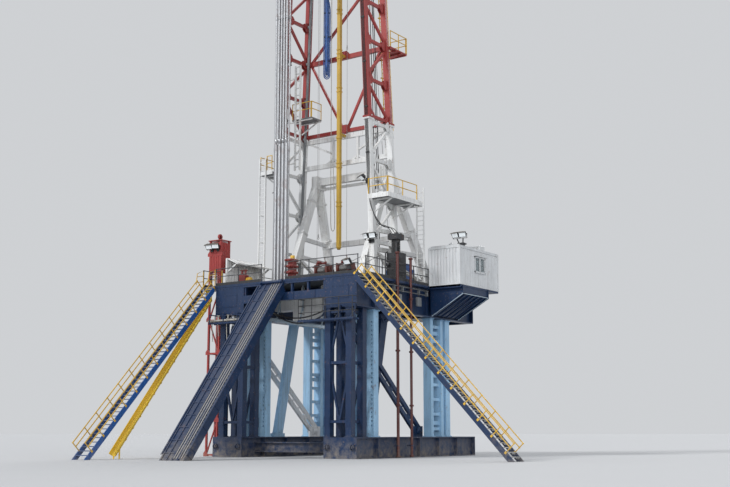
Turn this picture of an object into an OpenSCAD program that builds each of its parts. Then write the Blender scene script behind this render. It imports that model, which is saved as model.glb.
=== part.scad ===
// Oil drilling rig with a raised floor and an open-fronted mast, as a 1:2 scale model.
// Millimetres. X runs along the floor's front edge, +X towards the doghouse. Y runs from the
// pipe ramp at the front to the drawworks at the back. Z is up.
// All parts are laid out about the well centre, on the ground, and shifted at the end.

/* [Floor and substructure] */
// Height of the drill floor above the ground
floor_h = 5250; // [4800:10:5800]
// Width of the drill floor
deck_w = 5500; // [5200:10:6000]
// Well centre to the front edge of the floor
deck_front = 2550; // [2400:10:2900]
// Well centre to the back edge of the floor
deck_back = 4150; // [3950:10:4600]
// Thickness of the floor plate
plate_t = 60; // [40:5:90]
// Height of the side boxes under the floor plate
box_h = 890; // [700:10:1000]
// Width of the side boxes and of the base skids
box_w = 1150; // [1050:10:1250]
// How far the floor plate runs past the side boxes
deck_lip = 50; // [20:5:90]
// Height of the base skids
skid_h = 600; // [450:10:750]
// Flange width of the long girders
flange_w = 260; // [200:10:320]
// Flange thickness of the girders
flange_t = 30; // [20:2:40]
// Web thickness of the girders
web_t = 24; // [16:2:30]
// Middle of the floor to the well, across the rig
well_x = -200; // [-260:10:-100]
// Depth of the front cross beam under the floor
front_beam_h = 560; // [450:10:700]

/* [Legs] */
// Width of the outer post of a front leg
leg_outer_w = 300; // [240:10:340]
// Width of the inner post of a front leg
leg_inner_w = 280; // [220:10:320]
// Outer face of a front leg to the outer face of its side box
leg_inset = 170; // [120:10:220]
// Depth of the front leg posts
leg_d = 250; // [200:10:300]
// Well centre to the middle of the front legs
front_leg_y = 1325; // [1200:5:1450]
// Well centre to the near face of the rear legs
rear_leg_y = 1700; // [1500:10:1900]
// Width of the rear legs along the rig
rear_leg_w = 1150; // [1050:10:1250]
// Thickness of the rear legs across the rig
rear_leg_t = 280; // [200:10:320]
// Width of a front tower across the rig
tower_w = 950; // [800:10:1050]
// Depth of a front tower
tower_d = 760; // [600:10:850]
// Side of a front tower's corner posts
tower_post = 200; // [150:5:240]

/* [Mast] */
// Height of one panel of the mast
panel_h = 1325; // [1250:5:1400]
// Centreline of a mast side to the well, at the floor
mast_foot_x = 1975; // [1900:5:2050]
// Centreline of a mast side to the well, at the crown
mast_top_x = 980; // [900:5:1100]
// Well centre to the front chords
mast_front = 300; // [250:5:400]
// Well centre to the rear chords, at the floor
mast_rear = 950; // [880:5:1000]
// Well centre to the rear chords, at the crown
mast_rear_top = 700; // [650:5:800]
// Side of the square chords
chord = 180; // [150:5:200]
// Side of the level struts in the mast sides
strut = 96; // [80:2:110]
// Side of the diagonals in the mast sides
brace = 76; // [60:2:90]
// Depth of the cross beams at the back of the mast
back_beam_h = 150; // [120:5:180]
// Height of the racking board above the floor
racking_h = 13000; // [12500:50:13400]

/* [A-frames] */
// Height of the A-frames above the floor
a_frame_h = 3950; // [3700:10:4200]
// Well centre to the plane of the A-frame's front legs
a_frame_x = 1440; // [1350:10:1500]
// Side of the A-frame's legs
a_frame_leg = 220; // [180:10:240]
// Well centre to the A-frame's top
a_frame_y = 1270; // [1230:10:1400]

/* [Ramp, stairs and slide] */
// Width of the pipe ramp
ramp_w = 880; // [800:10:1000]
// Angle of the pipe ramp from the ground
ramp_angle = 52; // [46:1:58]
// Thickness of the pipe ramp
ramp_t = 210; // [180:10:260]
// Width of the stairs
stair_w = 520; // [450:10:540]
// Number of steps in each flight
steps = 44; // [40:1:48]
// Depth of one step
tread_d = 113; // [105:1:120]
// Thickness of the stringers
stringer_t = 24; // [16:2:30]
// Depth of the stringers
stringer_d = 150; // [120:5:180]
// How far the left landing runs past the floor's front edge
left_landing = 20; // [0:5:60]
// Height of the stair rails, square to the stringers
stair_rail = 315; // [280:5:360]
// Outer radius of the escape slide
slide_r = 130; // [110:5:160]
// Thickness of the escape slide
slide_t = 14; // [10:1:20]

/* [Doghouse] */
// Width of the doghouse across the rig
doghouse_w = 1100; // [1000:10:1250]
// Length of the doghouse along the rig
doghouse_l = 2450; // [2250:10:2650]
// Height of the doghouse walls
doghouse_h = 1200; // [1100:10:1250]
// Thickness of the doghouse walls
wall_t = 40; // [30:2:50]
// Well centre to the doghouse's front wall
doghouse_y = 1330; // [1250:10:1500]
// Height of the doghouse's doorway
door_h = 1000; // [950:10:1050]
// Width of the doghouse's doorway
door_w = 450; // [400:10:500]

/* [Floor equipment] */
// Bore of the rotary table
rotary_bore = 476; // [440:2:500]
// Outer radius of the rotary table
rotary_r = 520; // [480:10:560]
// Height of the handrails
rail_h = 550; // [520:5:600]
// Side of the handrail tubes
rail_t = 22; // [18:1:28]
// Radius of a crown sheave
sheave_r = 380; // [340:5:400]
// Radius of the drill pipe in the rack
pipe_r = 34; // [30:1:38]
// Radius of the collars in the rack
collar_r = 52; // [45:1:56]
// Length of a stand of pipe
stand_l = 13600; // [13450:10:13800]
// Length of a drill collar in the rack
collar_l = 4600; // [4400:10:4700]

/* [Hidden] */

// Substructure
side_out = deck_w / 2 - deck_lip;
side_in = side_out - box_w;
box_top = floor_h - plate_t;
box_low = box_top - box_h;
leg_h = box_low - skid_h;
deck_l = deck_front + deck_back;

// Mast
panels = 17;
lower_panels = 4;
middle_panels = 8;
mast_h = panels * panel_h;
mast_top = floor_h + mast_h;
shoe_t = 50;
function level(k) = floor_h + k * panel_h;
function rise(z) = (z - floor_h) / mast_h;
function mast_x(z) = mast_foot_x + (mast_top_x - mast_foot_x) * rise(z);
function mast_y(z) = mast_rear + (mast_rear_top - mast_rear) * rise(z);
function chord_in(z) = mast_x(z) - chord / 2 / cos(atan2(mast_foot_x - mast_top_x, mast_h));
back_beam_d = 110;

// Stairs
riser = floor_h / steps;
stair_run = steps * tread_d;
stair_angle = atan2(riser, tread_d);

// Hoist tower beside the floor
hoist_w = 500;
hoist_gap = 170;

// The model stands with the middle of its outline at the origin
flight_reach = (floor_h + 20) / tan(stair_angle);
reach_left = deck_w / 2 + hoist_w + hoist_gap;
reach_right = deck_w / 2 + flight_reach;
reach_front = deck_front + left_landing + flight_reach;
module over_well() { translate([well_x, 0, 0]) children(); }
module placed() {
    translate([(reach_left - reach_right) / 2, (reach_front - deck_back) / 2, 0]) children();
}

// A bar of square section, w by t, from point p to point q
module bar(p, q, w, t = 0) {
    v = q - p;
    d = t == 0 ? w : t;
    translate(p)
        rotate([0, acos(v.z / norm(v)), atan2(v.y, v.x)])
            translate([-w / 2, -d / 2, 0]) cube([w, d, norm(v)]);
}

// A round bar of radius r from point p to point q
module rod(p, q, r) {
    v = q - p;
    translate(p)
        rotate([0, acos(v.z / norm(v)), atan2(v.y, v.x)]) cylinder(h = norm(v), r = r, $fn = 24);
}

// The same children on both sides of the rig
module both_sides() {
    children();
    mirror([1, 0, 0]) children();
}

// A girder of I section along Y, with its lower left front corner at the origin
module girder(l, h, w = flange_w) {
    cube([w, l, flange_t]);
    translate([0, 0, h - flange_t]) cube([w, l, flange_t]);
    translate([(w - web_t) / 2, 0, 0]) cube([web_t, l, h]);
}

// Two girders tied by cross pieces, with stiffeners on the outer web, and with plates from
// girder to girder over the given spans of Y, at height z, and with both ends closed
module girder_frame(l, h, bays, spans, z) {
    step = l / bays;
    rib_t = 18;
    tie = 70;
    girder(l, h);
    translate([box_w - flange_w, 0, 0]) girder(l, h);
    for (y = [0, l - web_t]) translate([0, y, 0]) cube([box_w, web_t, h]);
    for (span = spans)
        translate([0, deck_front + span[0], z]) cube([box_w, span[1] - span[0], flange_t]);
    for (k = [0:bays]) {
        y = min(max(k * step - tie / 2, 0), l - tie);
        translate([flange_w / 2, y, flange_t + tie])
            cube([box_w - flange_w, tie, h - 2 * flange_t - 2 * tie]);
        for (x = [10, box_w - flange_w / 2])
            translate([x, y + (tie - rib_t) / 2, flange_t])
                cube([flange_w / 2 - 10, rib_t, h - 2 * flange_t]);
    }
}

// A flat handrail panel along X, standing on z = 0, with posts no more than gap apart
module rail_panel(l, gap = 950) {
    bays = ceil((l - rail_t) / gap);
    step = (l - rail_t) / bays;
    for (k = [0:bays]) translate([k * step, 0, 0]) cube([rail_t, rail_t, rail_h]);
    for (z = [rail_h - rail_t, rail_h * 0.52]) translate([0, 0, z]) cube([l, rail_t, rail_t]);
}

module base_skids() {
    color("midnightblue") both_sides()
        translate([side_in, -deck_front, 0])
            girder_frame(deck_l, skid_h, 6, [
                [-front_leg_y - leg_d / 2 - 60, strut_foot_y + strut_w],
                [rear_leg_y - 320, rear_leg_y + rear_leg_w + 60]
            ], skid_h - flange_t);
}

module base_cross_beams() {
    beam_h = 300;
    beam_w = 200;
    reach = side_in + (flange_w - web_t) / 2;
    color("midnightblue")
        for (y = [-1800, rear_leg_y - 500, deck_back - 700])
            translate([-reach, y, 150]) {
                cube([2 * reach, beam_w, flange_t]);
                translate([0, 0, beam_h - flange_t]) cube([2 * reach, beam_w, flange_t]);
                translate([0, (beam_w - web_t) / 2, 0]) cube([2 * reach, web_t, beam_h]);
            }
}

module front_tower() {
    p = tower_post;
    x0 = side_in;
    y0 = -deck_front + 30;
    tie = 80;
    mid = skid_h + leg_h * 0.56;
    for (x = [x0, x0 + tower_w - p])
        for (y = [y0, y0 + tower_d - p])
            translate([x, y, skid_h]) cube([p, p, leg_h]);
    for (z = [skid_h + 400, mid, skid_h + leg_h - 160]) {
        for (y = [y0 + 15, y0 + tower_d - p + 15]) translate([x0, y, z]) cube([tower_w, tie, tie]);
        for (x = [x0 + 15, x0 + tower_w - p + 15]) translate([x, y0, z]) cube([tie, tower_d, tie]);
    }
    for (y = [y0 + p / 2, y0 + tower_d - p / 2])
        for (s = [0, 1]) {
            xa = s == 0 ? x0 + p / 2 : x0 + tower_w - p / 2;
            bar([xa, y, mid], [x0 + tower_w / 2, y, skid_h + 400 + tie / 2], 60);
            if (y < y0 + p) bar([x0 + tower_w / 2, y, skid_h + leg_h - 120], [xa, y, mid + tie / 2], 60);
        }
}

module front_towers() {
    color("midnightblue") both_sides() front_tower();
}

module front_leg() {
    web_h = 1000;
    slot_w = 200;
    hole = [46, 60];
    y = -front_leg_y - leg_d / 2;
    inner = side_in;
    outer = side_out - leg_inset - leg_outer_w;
    wide = outer + leg_outer_w - inner;
    middle = (inner + leg_inner_w + outer) / 2;
    difference() {
        union() {
            translate([inner, y, skid_h]) cube([leg_inner_w, leg_d, leg_h]);
            translate([outer, y, skid_h]) cube([leg_outer_w, leg_d, leg_h]);
            translate([inner, y + leg_d / 2 - 30, skid_h]) cube([wide, 60, web_h]);
            translate([inner, y + 20, skid_h + web_h]) cube([wide, leg_d - 40, 60]);
        }
        translate([middle, y - 1, skid_h + web_h / 2]) rotate([-90, 0, 0]) {
            for (z = [-web_h / 2 + 200, web_h / 2 - 200])
                translate([0, z, 0]) cylinder(h = leg_d + 2, r = slot_w / 2, $fn = 32);
            translate([-slot_w / 2, -web_h / 2 + 200, 0]) cube([slot_w, web_h - 400, leg_d + 2]);
        }
        for (x = [inner + 45, outer + leg_outer_w - 45 - hole.x])
            for (z = [skid_h + 300:125:skid_h + leg_h - 300])
                translate([x, y - 1, z]) cube([hole.x, leg_d + 2, hole.y]);
    }
}

module front_legs() {
    color("lightskyblue") both_sides() front_leg();
}

module rear_leg() {
    post = 150;
    wide = 750;
    x = side_out - 300 - rear_leg_t / 2;
    for (y = [rear_leg_y, rear_leg_y + wide - post])
        translate([x, y, skid_h]) cube([rear_leg_t, post, leg_h]);
    translate([x, rear_leg_y + rear_leg_w - 250, skid_h]) cube([rear_leg_t, 250, leg_h]);
    for (k = [0:7])
        translate([x + 60, rear_leg_y, skid_h + 200 + k * (leg_h - 500) / 7])
            cube([rear_leg_t - 120, wide, 90]);
    for (z = [0.1, 0.5, 0.86])
        translate([x + 90, rear_leg_y, skid_h + leg_h * z]) cube([rear_leg_t - 180, rear_leg_w, 120]);
}

module rear_legs() {
    color("lightsteelblue") both_sides() rear_leg();
}

strut_w = 330;
strut_foot_y = -590;
strut_top_y = 190;

module side_brace() {
    x = (side_in + leg_inner_w + side_out - leg_inset - leg_outer_w) / 2;
    top = [x, -deck_front + 343, box_low - 190];
    foot = [x, rear_leg_y - 24, skid_h + 190];
    along = unit(foot - top);
    apart = [0, -along.z, along.y] * 120;
    for (s = [-1, 1]) bar(top + s * apart, foot + s * apart, 130, 90);
    for (t = [0.12, 0.37, 0.62, 0.87]) {
        m = top + (foot - top) * t;
        bar(m - apart / 2, m + apart / 2, 160, 60);
    }
    plate = [60, 560, 330];
    translate([x - plate.x / 2, top.y - plate.y / 2, box_low - plate.z]) cube(plate);
    translate([x - plate.x / 2, foot.y - plate.y / 2, skid_h]) cube(plate);
    strut_x = side_in + 200;
    seat = [200, strut_w + 150, 110];
    bar([strut_x, strut_foot_y, skid_h + 90], [strut_x, strut_top_y, box_low - 90], strut_w, 150);
    translate([strut_x - seat.x / 2, strut_foot_y - seat.y / 2, skid_h]) cube(seat);
    translate([strut_x - seat.x / 2, strut_top_y - seat.y / 2, box_low - seat.z]) cube(seat);
}

module side_braces() {
    color("lightsteelblue") both_sides() side_brace();
}

module upper_boxes() {
    color("midnightblue") both_sides()
        translate([side_in, -deck_front, box_low])
            girder_frame(deck_l, box_h, 7, [
                [-deck_front + 40, -front_leg_y + leg_d / 2 + 60],
                [strut_top_y - strut_w, strut_top_y + strut_w],
                [rear_leg_y - 100, rear_leg_y + rear_leg_w + 60]
            ], 0);
}

module floor_beams() {
    beam_h = 620;
    beam_w = 240;
    color("midnightblue")
        for (y = [-900, 660, 2300, deck_back - beam_w])
            translate([-side_in, y, box_top - beam_h]) {
                cube([2 * side_in, beam_w, flange_t]);
                translate([0, 0, beam_h - flange_t]) cube([2 * side_in, beam_w, flange_t]);
                translate([0, (beam_w - web_t) / 2, 0]) cube([2 * side_in, web_t, beam_h]);
            }
}

module front_beam() {
    posts = 5;
    top = 60;
    low = 240;
    d = 150;
    color("midnightblue") translate([-side_in, -deck_front, box_top - front_beam_h]) {
        cube([2 * side_in, d, low]);
        translate([0, 0, front_beam_h - top]) cube([2 * side_in, d, top]);
        for (k = [0:posts])
            translate([k * (2 * side_in - 60) / posts, 30, 0]) cube([60, d - 60, front_beam_h]);
    }
}

// White steel boxes slung under the floor behind its front edge
module under_floor_boxes() {
    upper = [1860, 380, 420];
    lower = [1130, 380, 370];
    left = -1340;
    y = -1300;
    hanger = 80;
    color("white") {
        translate([left, y, box_low + 180]) cube(upper);
        translate([left + upper.x - lower.x, y, box_low + 180 - lower.z]) cube(lower);
        for (x = [left + 80, left + upper.x / 2, left + upper.x - 80 - hanger])
            translate([x, y + 150, box_low + 180 + upper.z])
                cube([hanger, hanger, box_h - 180 - upper.z]);
    }
}

module floor_plate() {
    pad = [1120, 1050, 50];
    color("darkslategray") difference() {
        union() {
            translate([-deck_w / 2, -deck_front, box_top]) cube([deck_w, deck_l, plate_t]);
            over_well() both_sides() translate([700, -1650, floor_h]) cube(pad);
        }
        over_well() {
            translate([0, 0, box_top - 1]) cylinder(h = plate_t + 2, r = rotary_bore / 2 + 90, $fn = 64);
            translate([380, -900, box_top - 1]) cylinder(h = plate_t + 2, r = 90, $fn = 32);
        }
    }
}

module rotary_table() {
    color("dimgray") difference() {
        union() {
            translate([0, 0, box_top - 260]) cylinder(h = 320, r = rotary_bore / 2 + 80, $fn = 64);
            translate([0, 0, floor_h]) cylinder(h = 60, r = rotary_r, $fn = 64);
            translate([0, 0, floor_h + 60]) cylinder(h = 40, r = rotary_r - 110, $fn = 64);
            translate([0, -260, floor_h]) cube([900, 520, 60]);
        }
        translate([0, 0, box_top - 400]) cylinder(h = 700, r = rotary_bore / 2, $fn = 64);
    }
}

drum_y = 2850;
drum_z = 520;

module drawworks() {
    l = 2300;
    d = 1000;
    h = 900;
    drum_r = 300;
    color("steelblue") translate([-l / 2, drum_y - d / 2, floor_h]) {
        cube([l, d, 110]);
        for (x = [0, l - 560]) translate([x, 60, 110]) cube([560, d - 120, h - 110]);
        translate([560, d / 2, drum_z]) rotate([0, 90, 0]) cylinder(h = l - 1120, r = drum_r - 70, $fn = 48);
        for (x = [560, l / 2 - 20, l - 600])
            translate([x, d / 2, drum_z]) rotate([0, 90, 0]) cylinder(h = 40, r = drum_r, $fn = 48);
        translate([90, d / 2, h]) cylinder(h = 160, r = 150, $fn = 32);
        translate([l - 480, 160, h]) cube([380, d - 320, 180]);
    }
}

// The dark power unit on the right of the floor
module deck_machine() {
    base = [500, 560, 90];
    body = [420, 440, 820];
    neck = [180, 220, 420];
    head = [360, 380, 170];
    color("dimgray") translate([deck_w / 2 - 600, -300, floor_h]) {
        cube(base);
        translate([40, 60, base.z]) cube(body);
        translate([150, 160, base.z + body.z]) cube(neck);
        translate([60, 80, base.z + body.z + neck.z]) cube(head);
    }
}

// One side of the mast, between panel levels a and b
module mast_side(a, b) {
    za = a == 0 ? floor_h + shoe_t / 2 : level(a);
    for (k = [0:1])
        bar(mast_point(k, za), mast_point(k, level(b)), chord);
    for (k = [a:b]) {
        z = k == a ? level(a) + strut : k == b ? level(b) - strut : level(k);
        bar(mast_point(0, z), mast_point(1, z), strut);
    }
    for (k = [a:b - 1])
        bar(mast_point((k + 1) % 2, level(k) + strut), mast_point(k % 2, level(k + 1) - strut), brace);
}

// A point on a chord of the mast's right side: row 0 is the front chord, row 1 the rear one
function mast_point(row, z) = [mast_x(z), row == 0 ? -mast_front : mast_y(z), z];

module mast_shoes() {
    plate = 400;
    for (row = [0, 1]) {
        p = mast_point(row, floor_h);
        translate([p.x - plate / 2, p.y - plate / 2, floor_h]) cube([plate, plate, shoe_t]);
        for (x = [-chord / 2 - 30, chord / 2])
            translate([p.x + x, p.y - plate / 2 + 20, floor_h + shoe_t - 5]) cube([30, plate - 40, 220]);
    }
}

module mast_side_lower() {
    mast_side(0, lower_panels);
    mast_shoes();
}

module mast_left_lower() { color("white") mirror([1, 0, 0]) mast_side_lower(); }
module mast_right_lower() { color("white") mast_side_lower(); }
module mast_left_middle() { color("firebrick") mirror([1, 0, 0]) mast_side(lower_panels, middle_panels); }
module mast_right_middle() { color("firebrick") mast_side(lower_panels, middle_panels); }
module mast_left_upper() { color("white") mirror([1, 0, 0]) mast_side(middle_panels, panels); }
module mast_right_upper() { color("white") mast_side(middle_panels, panels); }

// A cross beam between the rear chords, its ends flush with their inner faces
module back_beam(z, h = back_beam_h) {
    translate([0, mast_y(z) + back_beam_d / 2, 0]) rotate([90, 0, 0])
        linear_extrude(back_beam_d)
            polygon([
                [-chord_in(z - h / 2), z - h / 2], [chord_in(z - h / 2), z - h / 2],
                [chord_in(z + h / 2), z + h / 2], [-chord_in(z + h / 2), z + h / 2]
            ]);
}

// The end of a back diagonal, beside the chord on side s
function back_end(z, s) = [s * (chord_in(z) - 110), mast_y(z), z];

// Two diagonals from the ends of the upper beam to the middle of the lower one
module back_vee(a) {
    for (s = [-1, 1])
        bar([0, mast_y(level(a)), level(a)], back_end(level(a + 2) - 40, s), brace);
}

// One diagonal across a bay
module back_diagonal(a) {
    bar(back_end(level(a) + 40, -1), back_end(level(a + 2) - 40, 1), brace);
}

module mast_back_lower() {
    top = level(lower_panels) - back_beam_h / 2 - 20;
    low = level(3) + 330;
    color("white") {
        back_beam(top);
        back_beam(low);
        for (s = [-1, 1]) {
            bar([s * 500, mast_y(low), low], [s * 500, mast_y(top), top], 84);
            bar([s * 500, mast_y(low), low + 190], [s * 200, mast_y(low), low + 40], 60);
            bar([s * 500, mast_y(low), low + 190], [s * 800, mast_y(low), low + 40], 60);
            bar([s * 560, mast_y(top), top - 500], back_end(top - 40, s), 68);
        }
    }
}

module mast_back_middle() {
    color("firebrick") {
        back_beam(level(4) + back_beam_h / 2 + 20, 120);
        back_vee(4);
        back_beam(level(6));
        back_diagonal(6);
        back_beam(level(8) - back_beam_h / 2 - 10);
    }
}

module mast_back_upper() {
    color("white") {
        back_beam(level(8) + back_beam_h / 2 + 10);
        for (a = [8, 12]) back_vee(a);
        for (a = [10, 14]) back_diagonal(a);
        for (a = [10, 12, 14, 16]) back_beam(level(a));
        back_beam(level(17) - back_beam_h / 2);
    }
}

board_z = floor_h + racking_h;
crown_z = mast_top + 300;
sheave_z = crown_z + 420;

module crown_block() {
    x = mast_top_x + 150;
    front = mast_front + 180;
    back = mast_rear_top + 180;
    color("firebrick") {
        for (s = [-1, 1]) {
            translate([s * mast_top_x - 90, -front, mast_top]) cube([180, front + back, 300]);
            translate([s * 560 - 60, -front, crown_z]) cube([120, front + back, 160]);
            translate([s * 560 - 30, -170, crown_z + 160]) cube([60, 340, 340]);
        }
        for (y = [-front - 60, back - 60]) translate([-x, y, crown_z - 200]) cube([2 * x, 120, 200]);
        difference() {
            translate([-x - 350, -front - 300, crown_z]) cube([2 * x + 700, front + back + 600, 30]);
            translate([-530, -sheave_r - 130, crown_z - 1]) cube([1060, 2 * sheave_r + 260, 32]);
        }
        for (s = [-1, 1]) {
            bar([s * 400, back + 80, crown_z + 15], [s * 60, back + 80, crown_z + 1700], 70);
            bar([s * 60, back + 80, crown_z + 1690], [s * 60, -100, crown_z + 1690], 60);
        }
        translate([-100, back + 40, crown_z + 1600]) cube([200, 80, 100]);
    }
}

sheaves = 6;
sheave_pitch = 140;

// A bore of 0 leaves the disc solid, for a sheave that is one piece with its axle
module sheave(r, bore = 0) {
    rotate([0, 90, 0]) difference() {
        cylinder(h = 60, r = r, center = true, $fn = 48);
        rotate_extrude($fn = 48) translate([r + 6, 0]) circle(r = 26, $fn = 24);
        for (a = [0:60:300]) rotate([0, 0, a]) translate([r * 0.58, 0, -40]) cylinder(h = 80, r = 70, $fn = 24);
        if (bore > 0) cylinder(h = 80, r = bore, center = true, $fn = 32);
    }
}

axle_r = 60;

module crown_sheaves() {
    color("dimgray") {
        for (k = [0:sheaves - 1])
            translate([(k - (sheaves - 1) / 2) * sheave_pitch, 0, sheave_z]) sheave(sheave_r, axle_r + 0.6);
        translate([-530, 0, sheave_z]) rotate([0, 90, 0]) cylinder(h = 1060, r = axle_r, $fn = 32);
    }
}

block_z = board_z + 400;
rail_y = 525;
guide_side = 120;

// Under the block hang its links and the drive, down to these depths
drive_top = 800;
drive_low = 2100;
quill_low = 2600;
link_low = 3600;
hose_top = block_z - 1700;

module travelling_block() {
    cheek = [50, 520, 1000];
    drive = [600, 560];
    arm = rail_y - guide_side / 2 - 300 - 0.5;
    color("goldenrod") {
        for (k = [0:sheaves - 2])
            translate([(k - (sheaves - 2) / 2) * sheave_pitch, 0, block_z]) sheave(sheave_r);
        translate([-380, 0, block_z]) rotate([0, 90, 0]) cylinder(h = 760, r = axle_r, $fn = 32);
        for (x = [-400, 350]) translate([x, -260, block_z - 700]) cube(cheek);
        translate([-400, -260, block_z - 700]) cube([800, 520, 240]);
        translate([0, 0, block_z - drive_top - 20]) cylinder(h = 140, r = 90, $fn = 32);
        translate([-drive.x / 2, -240, block_z - drive_low])
            cube([drive.x, drive.y, drive_low - drive_top]);
        for (z = [drive_low - 200, drive_top + 500])
            translate([-220, 300, block_z - z]) cube([440, arm, 300]);
        translate([0, 0, block_z - quill_low]) cylinder(h = quill_low - drive_low + 20, r = 110, $fn = 32);
        translate([0, 0, block_z - quill_low + 100]) cylinder(h = 90, r = 230, $fn = 32);
        for (s = [-1, 1])
            bar([s * 160, 0, block_z - quill_low + 150], [s * 200, 0, block_z - link_low + 100], 50);
        translate([-250, -70, block_z - link_low]) cube([500, 140, 140]);
        translate([hose_x - 60, hose_y - 60, hose_top]) cube([-hose_x - drive.x / 2 + 80, 120, 100]);
    }
}

module drilling_lines() {
    line_r = 9;
    y = sheave_r - 20 + line_r + 0.3;
    color("gray") {
        for (k = [0:sheaves - 2]) for (s = [-1, 1])
            rod([(k - (sheaves - 2) / 2) * sheave_pitch, s * y, block_z],
                [(k - (sheaves - 2) / 2) * sheave_pitch, s * y, sheave_z], line_r);
        x = (sheaves - 1) / 2 * sheave_pitch;
        rod([x, sheave_r + 12, sheave_z], [x, drum_y + 245, floor_h + drum_z + 40], line_r);
    }
}

module guide_rail() {
    side = guide_side;
    top = crown_z - 200;
    low = floor_h + 1450;
    color("goldenrod") {
        translate([-side / 2, rail_y - side / 2, low]) cube([side, side, top - low]);
        for (k = [4:2:16]) {
            z = k == 4 ? level(4) - back_beam_h / 2 - 20 : k == 8 ? level(8) + back_beam_h / 2 + 10 : level(k);
            end = mast_y(z) - back_beam_d / 2;
            translate([-50, rail_y, z - 40]) cube([100, end - rail_y, 80]);
            translate([-side / 2 - 16, rail_y - side / 2 - 16, z - 150]) cube([side + 32, side + 32, 60]);
        }
        translate([-50, rail_y - 60, top - 80]) cube([100, mast_rear_top + 20 - rail_y + 60, 80]);
    }
}

module standpipe() {
    r = 45;
    z = level(8) - back_beam_h - 120;
    y = mast_rear - 250;
    foot = [-mast_x(floor_h) + chord, y, floor_h];
    top = [-mast_x(z) + chord, y, z];
    color("dimgray") {
        rod(foot, top, r);
        translate(foot) cylinder(h = 60, r = 90, $fn = 32);
        translate(top) sphere(r = r + 6, $fn = 32);
        rod(top, [hose_end.x, y, z], r);
        rod([hose_end.x, y, z], [hose_end.x, hose_end.y, z], r);
        for (at = [y, hose_end.y]) translate([hose_end.x, at, z]) sphere(r = r + 6, $fn = 32);
        translate(hose_end) cylinder(h = z - hose_end.z, r = hose_r + 6, $fn = 24);
        for (k = [1:7])
            translate([-chord_in(level(k)), y - 30, level(k) - 40]) cube([60, 60, 80]);
    }
}

// The hanging hose: down from the block, round in a half turn, and up to the standpipe
hose_r = 36;
hose_x = -330;
hose_y = 250;
hose_bend = 290;
hose_turn_z = floor_h + 7640;
hose_apart = 2 * hose_bend * [-0.574, 0.819, 0];
hose_start = [hose_x, hose_y, hose_top];
hose_end = [hose_x, hose_y, hose_turn_z + 2400] + hose_apart;
hose_route = concat(
    [for (i = [0:9]) hose_start + [0, 0, (hose_turn_z - hose_top) * i / 10]],
    [for (a = [0:22.5:180])
        [hose_x, hose_y, hose_turn_z] + hose_apart * (1 - cos(a)) / 2 - [0, 0, hose_bend * sin(a)]],
    [for (i = [1:6]) [hose_end.x, hose_end.y, hose_turn_z + 400 * i]]
);

function ring(c, u, v, r, n) = [for (i = [0:n - 1]) c + r * cos(i * 360 / n) * u + r * sin(i * 360 / n) * v];
function unit(v) = v / norm(v);
function tangent(route, i) =
    unit(route[min(i + 1, len(route) - 1)] - route[max(i - 1, 0)]);
function side_axis(t) = unit(cross(t, [0.69, 0.72, 0]));

module tube(route, r, n = 10) {
    rings = [for (i = [0:len(route) - 1])
        let (t = tangent(route, i), u = side_axis(t), v = cross(t, u)) ring(route[i], u, v, r, n)];
    points = [for (loop = rings) each loop];
    last = len(route) - 1;
    faces = concat(
        [[for (i = [0:n - 1]) i]],
        [[for (i = [n - 1:-1:0]) last * n + i]],
        [for (k = [0:last - 1]) for (i = [0:n - 1])
            [k * n + i, (k + 1) * n + i, (k + 1) * n + (i + 1) % n, k * n + (i + 1) % n]]
    );
    polyhedron(points = points, faces = faces);
}

module service_hose() { color("royalblue") tube(hose_route, hose_r); }

a_top = floor_h + a_frame_h;
a_gusset = 150;
a_apex = [a_frame_x, a_frame_y, a_top];
a_rear = [a_frame_x + 560, a_frame_y + 1700, floor_h + 40];
a_tie = 0.46;
a_lug = 220;
function on_rear(t) = a_rear + (a_apex - a_rear) * t;

module a_frame() {
    top = a_apex;
    front = [a_frame_x, -350, floor_h + 40];
    rear = a_rear;
    function on_front(t) = front + (top - front) * t;
    bar(front, top, a_frame_leg);
    bar(rear, top, a_frame_leg + 30);
    bar(on_front(0.3), on_rear(0.3), 130);
    bar(on_front(0.46), on_rear(0.46), 120);
    bar(on_front(0.3), on_rear(0.04), 96);
    translate([top.x - a_gusset, top.y - 260, top.z - 330]) cube([a_gusset + 70, 520, 430]);
    translate(on_rear(a_tie) - [a_lug, 100, 110]) cube([a_lug, 200, 220]);
    for (p = [front, rear]) translate([p.x - 230, p.y - 230, floor_h]) cube([460, 460, 60]);
}

module a_frames() { color("white") both_sides() a_frame(); }

module a_frame_beams() {
    w = 2 * (a_frame_x - a_gusset);
    color("white") {
        translate([-w / 2, a_frame_y - 90, a_top - 200]) cube([w, 180, 240]);
        translate([-w / 2, a_frame_y + 180, a_top - 320]) cube([w, 60, 90]);
        for (s = [-1, 1])
            translate([s * 700 - 60, a_frame_y + 80, a_top - 320]) cube([120, 120, 200]);
        rear_w = 2 * (on_rear(a_tie).x - a_lug);
        translate([-rear_w / 2, on_rear(a_tie).y - 80, on_rear(a_tie).z - 90]) cube([rear_w, 160, 180]);
    }
}

left_board = [550, 850, floor_h + 3950];
right_board = [760, 2000, floor_h + 2650];
balcony = [660, 1000, floor_h + 7980];
balcony_out = 140;
inner_board = [830, 545, floor_h + 5810];

// Where a platform meets the outer face of the mast's side, and the rear face of its rear chord
function beside_x(z) = 2 * mast_x(z) - chord_in(z) + 0.3;
function behind_y(z) = mast_y(z) + chord / 2 + 0.3;
board_y = -620;
board_t = 40;
landing_l = left_landing + 380;
landing_z = box_top - 0.6;
balcony_end = mast_x(balcony.z) + balcony_out;
inner_x = -chord_in(inner_board.z) - 30;
inner_end = mast_y(inner_board.z) - chord / 2 - 0.3;
inner_y = inner_end - inner_board.y - 150;

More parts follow.
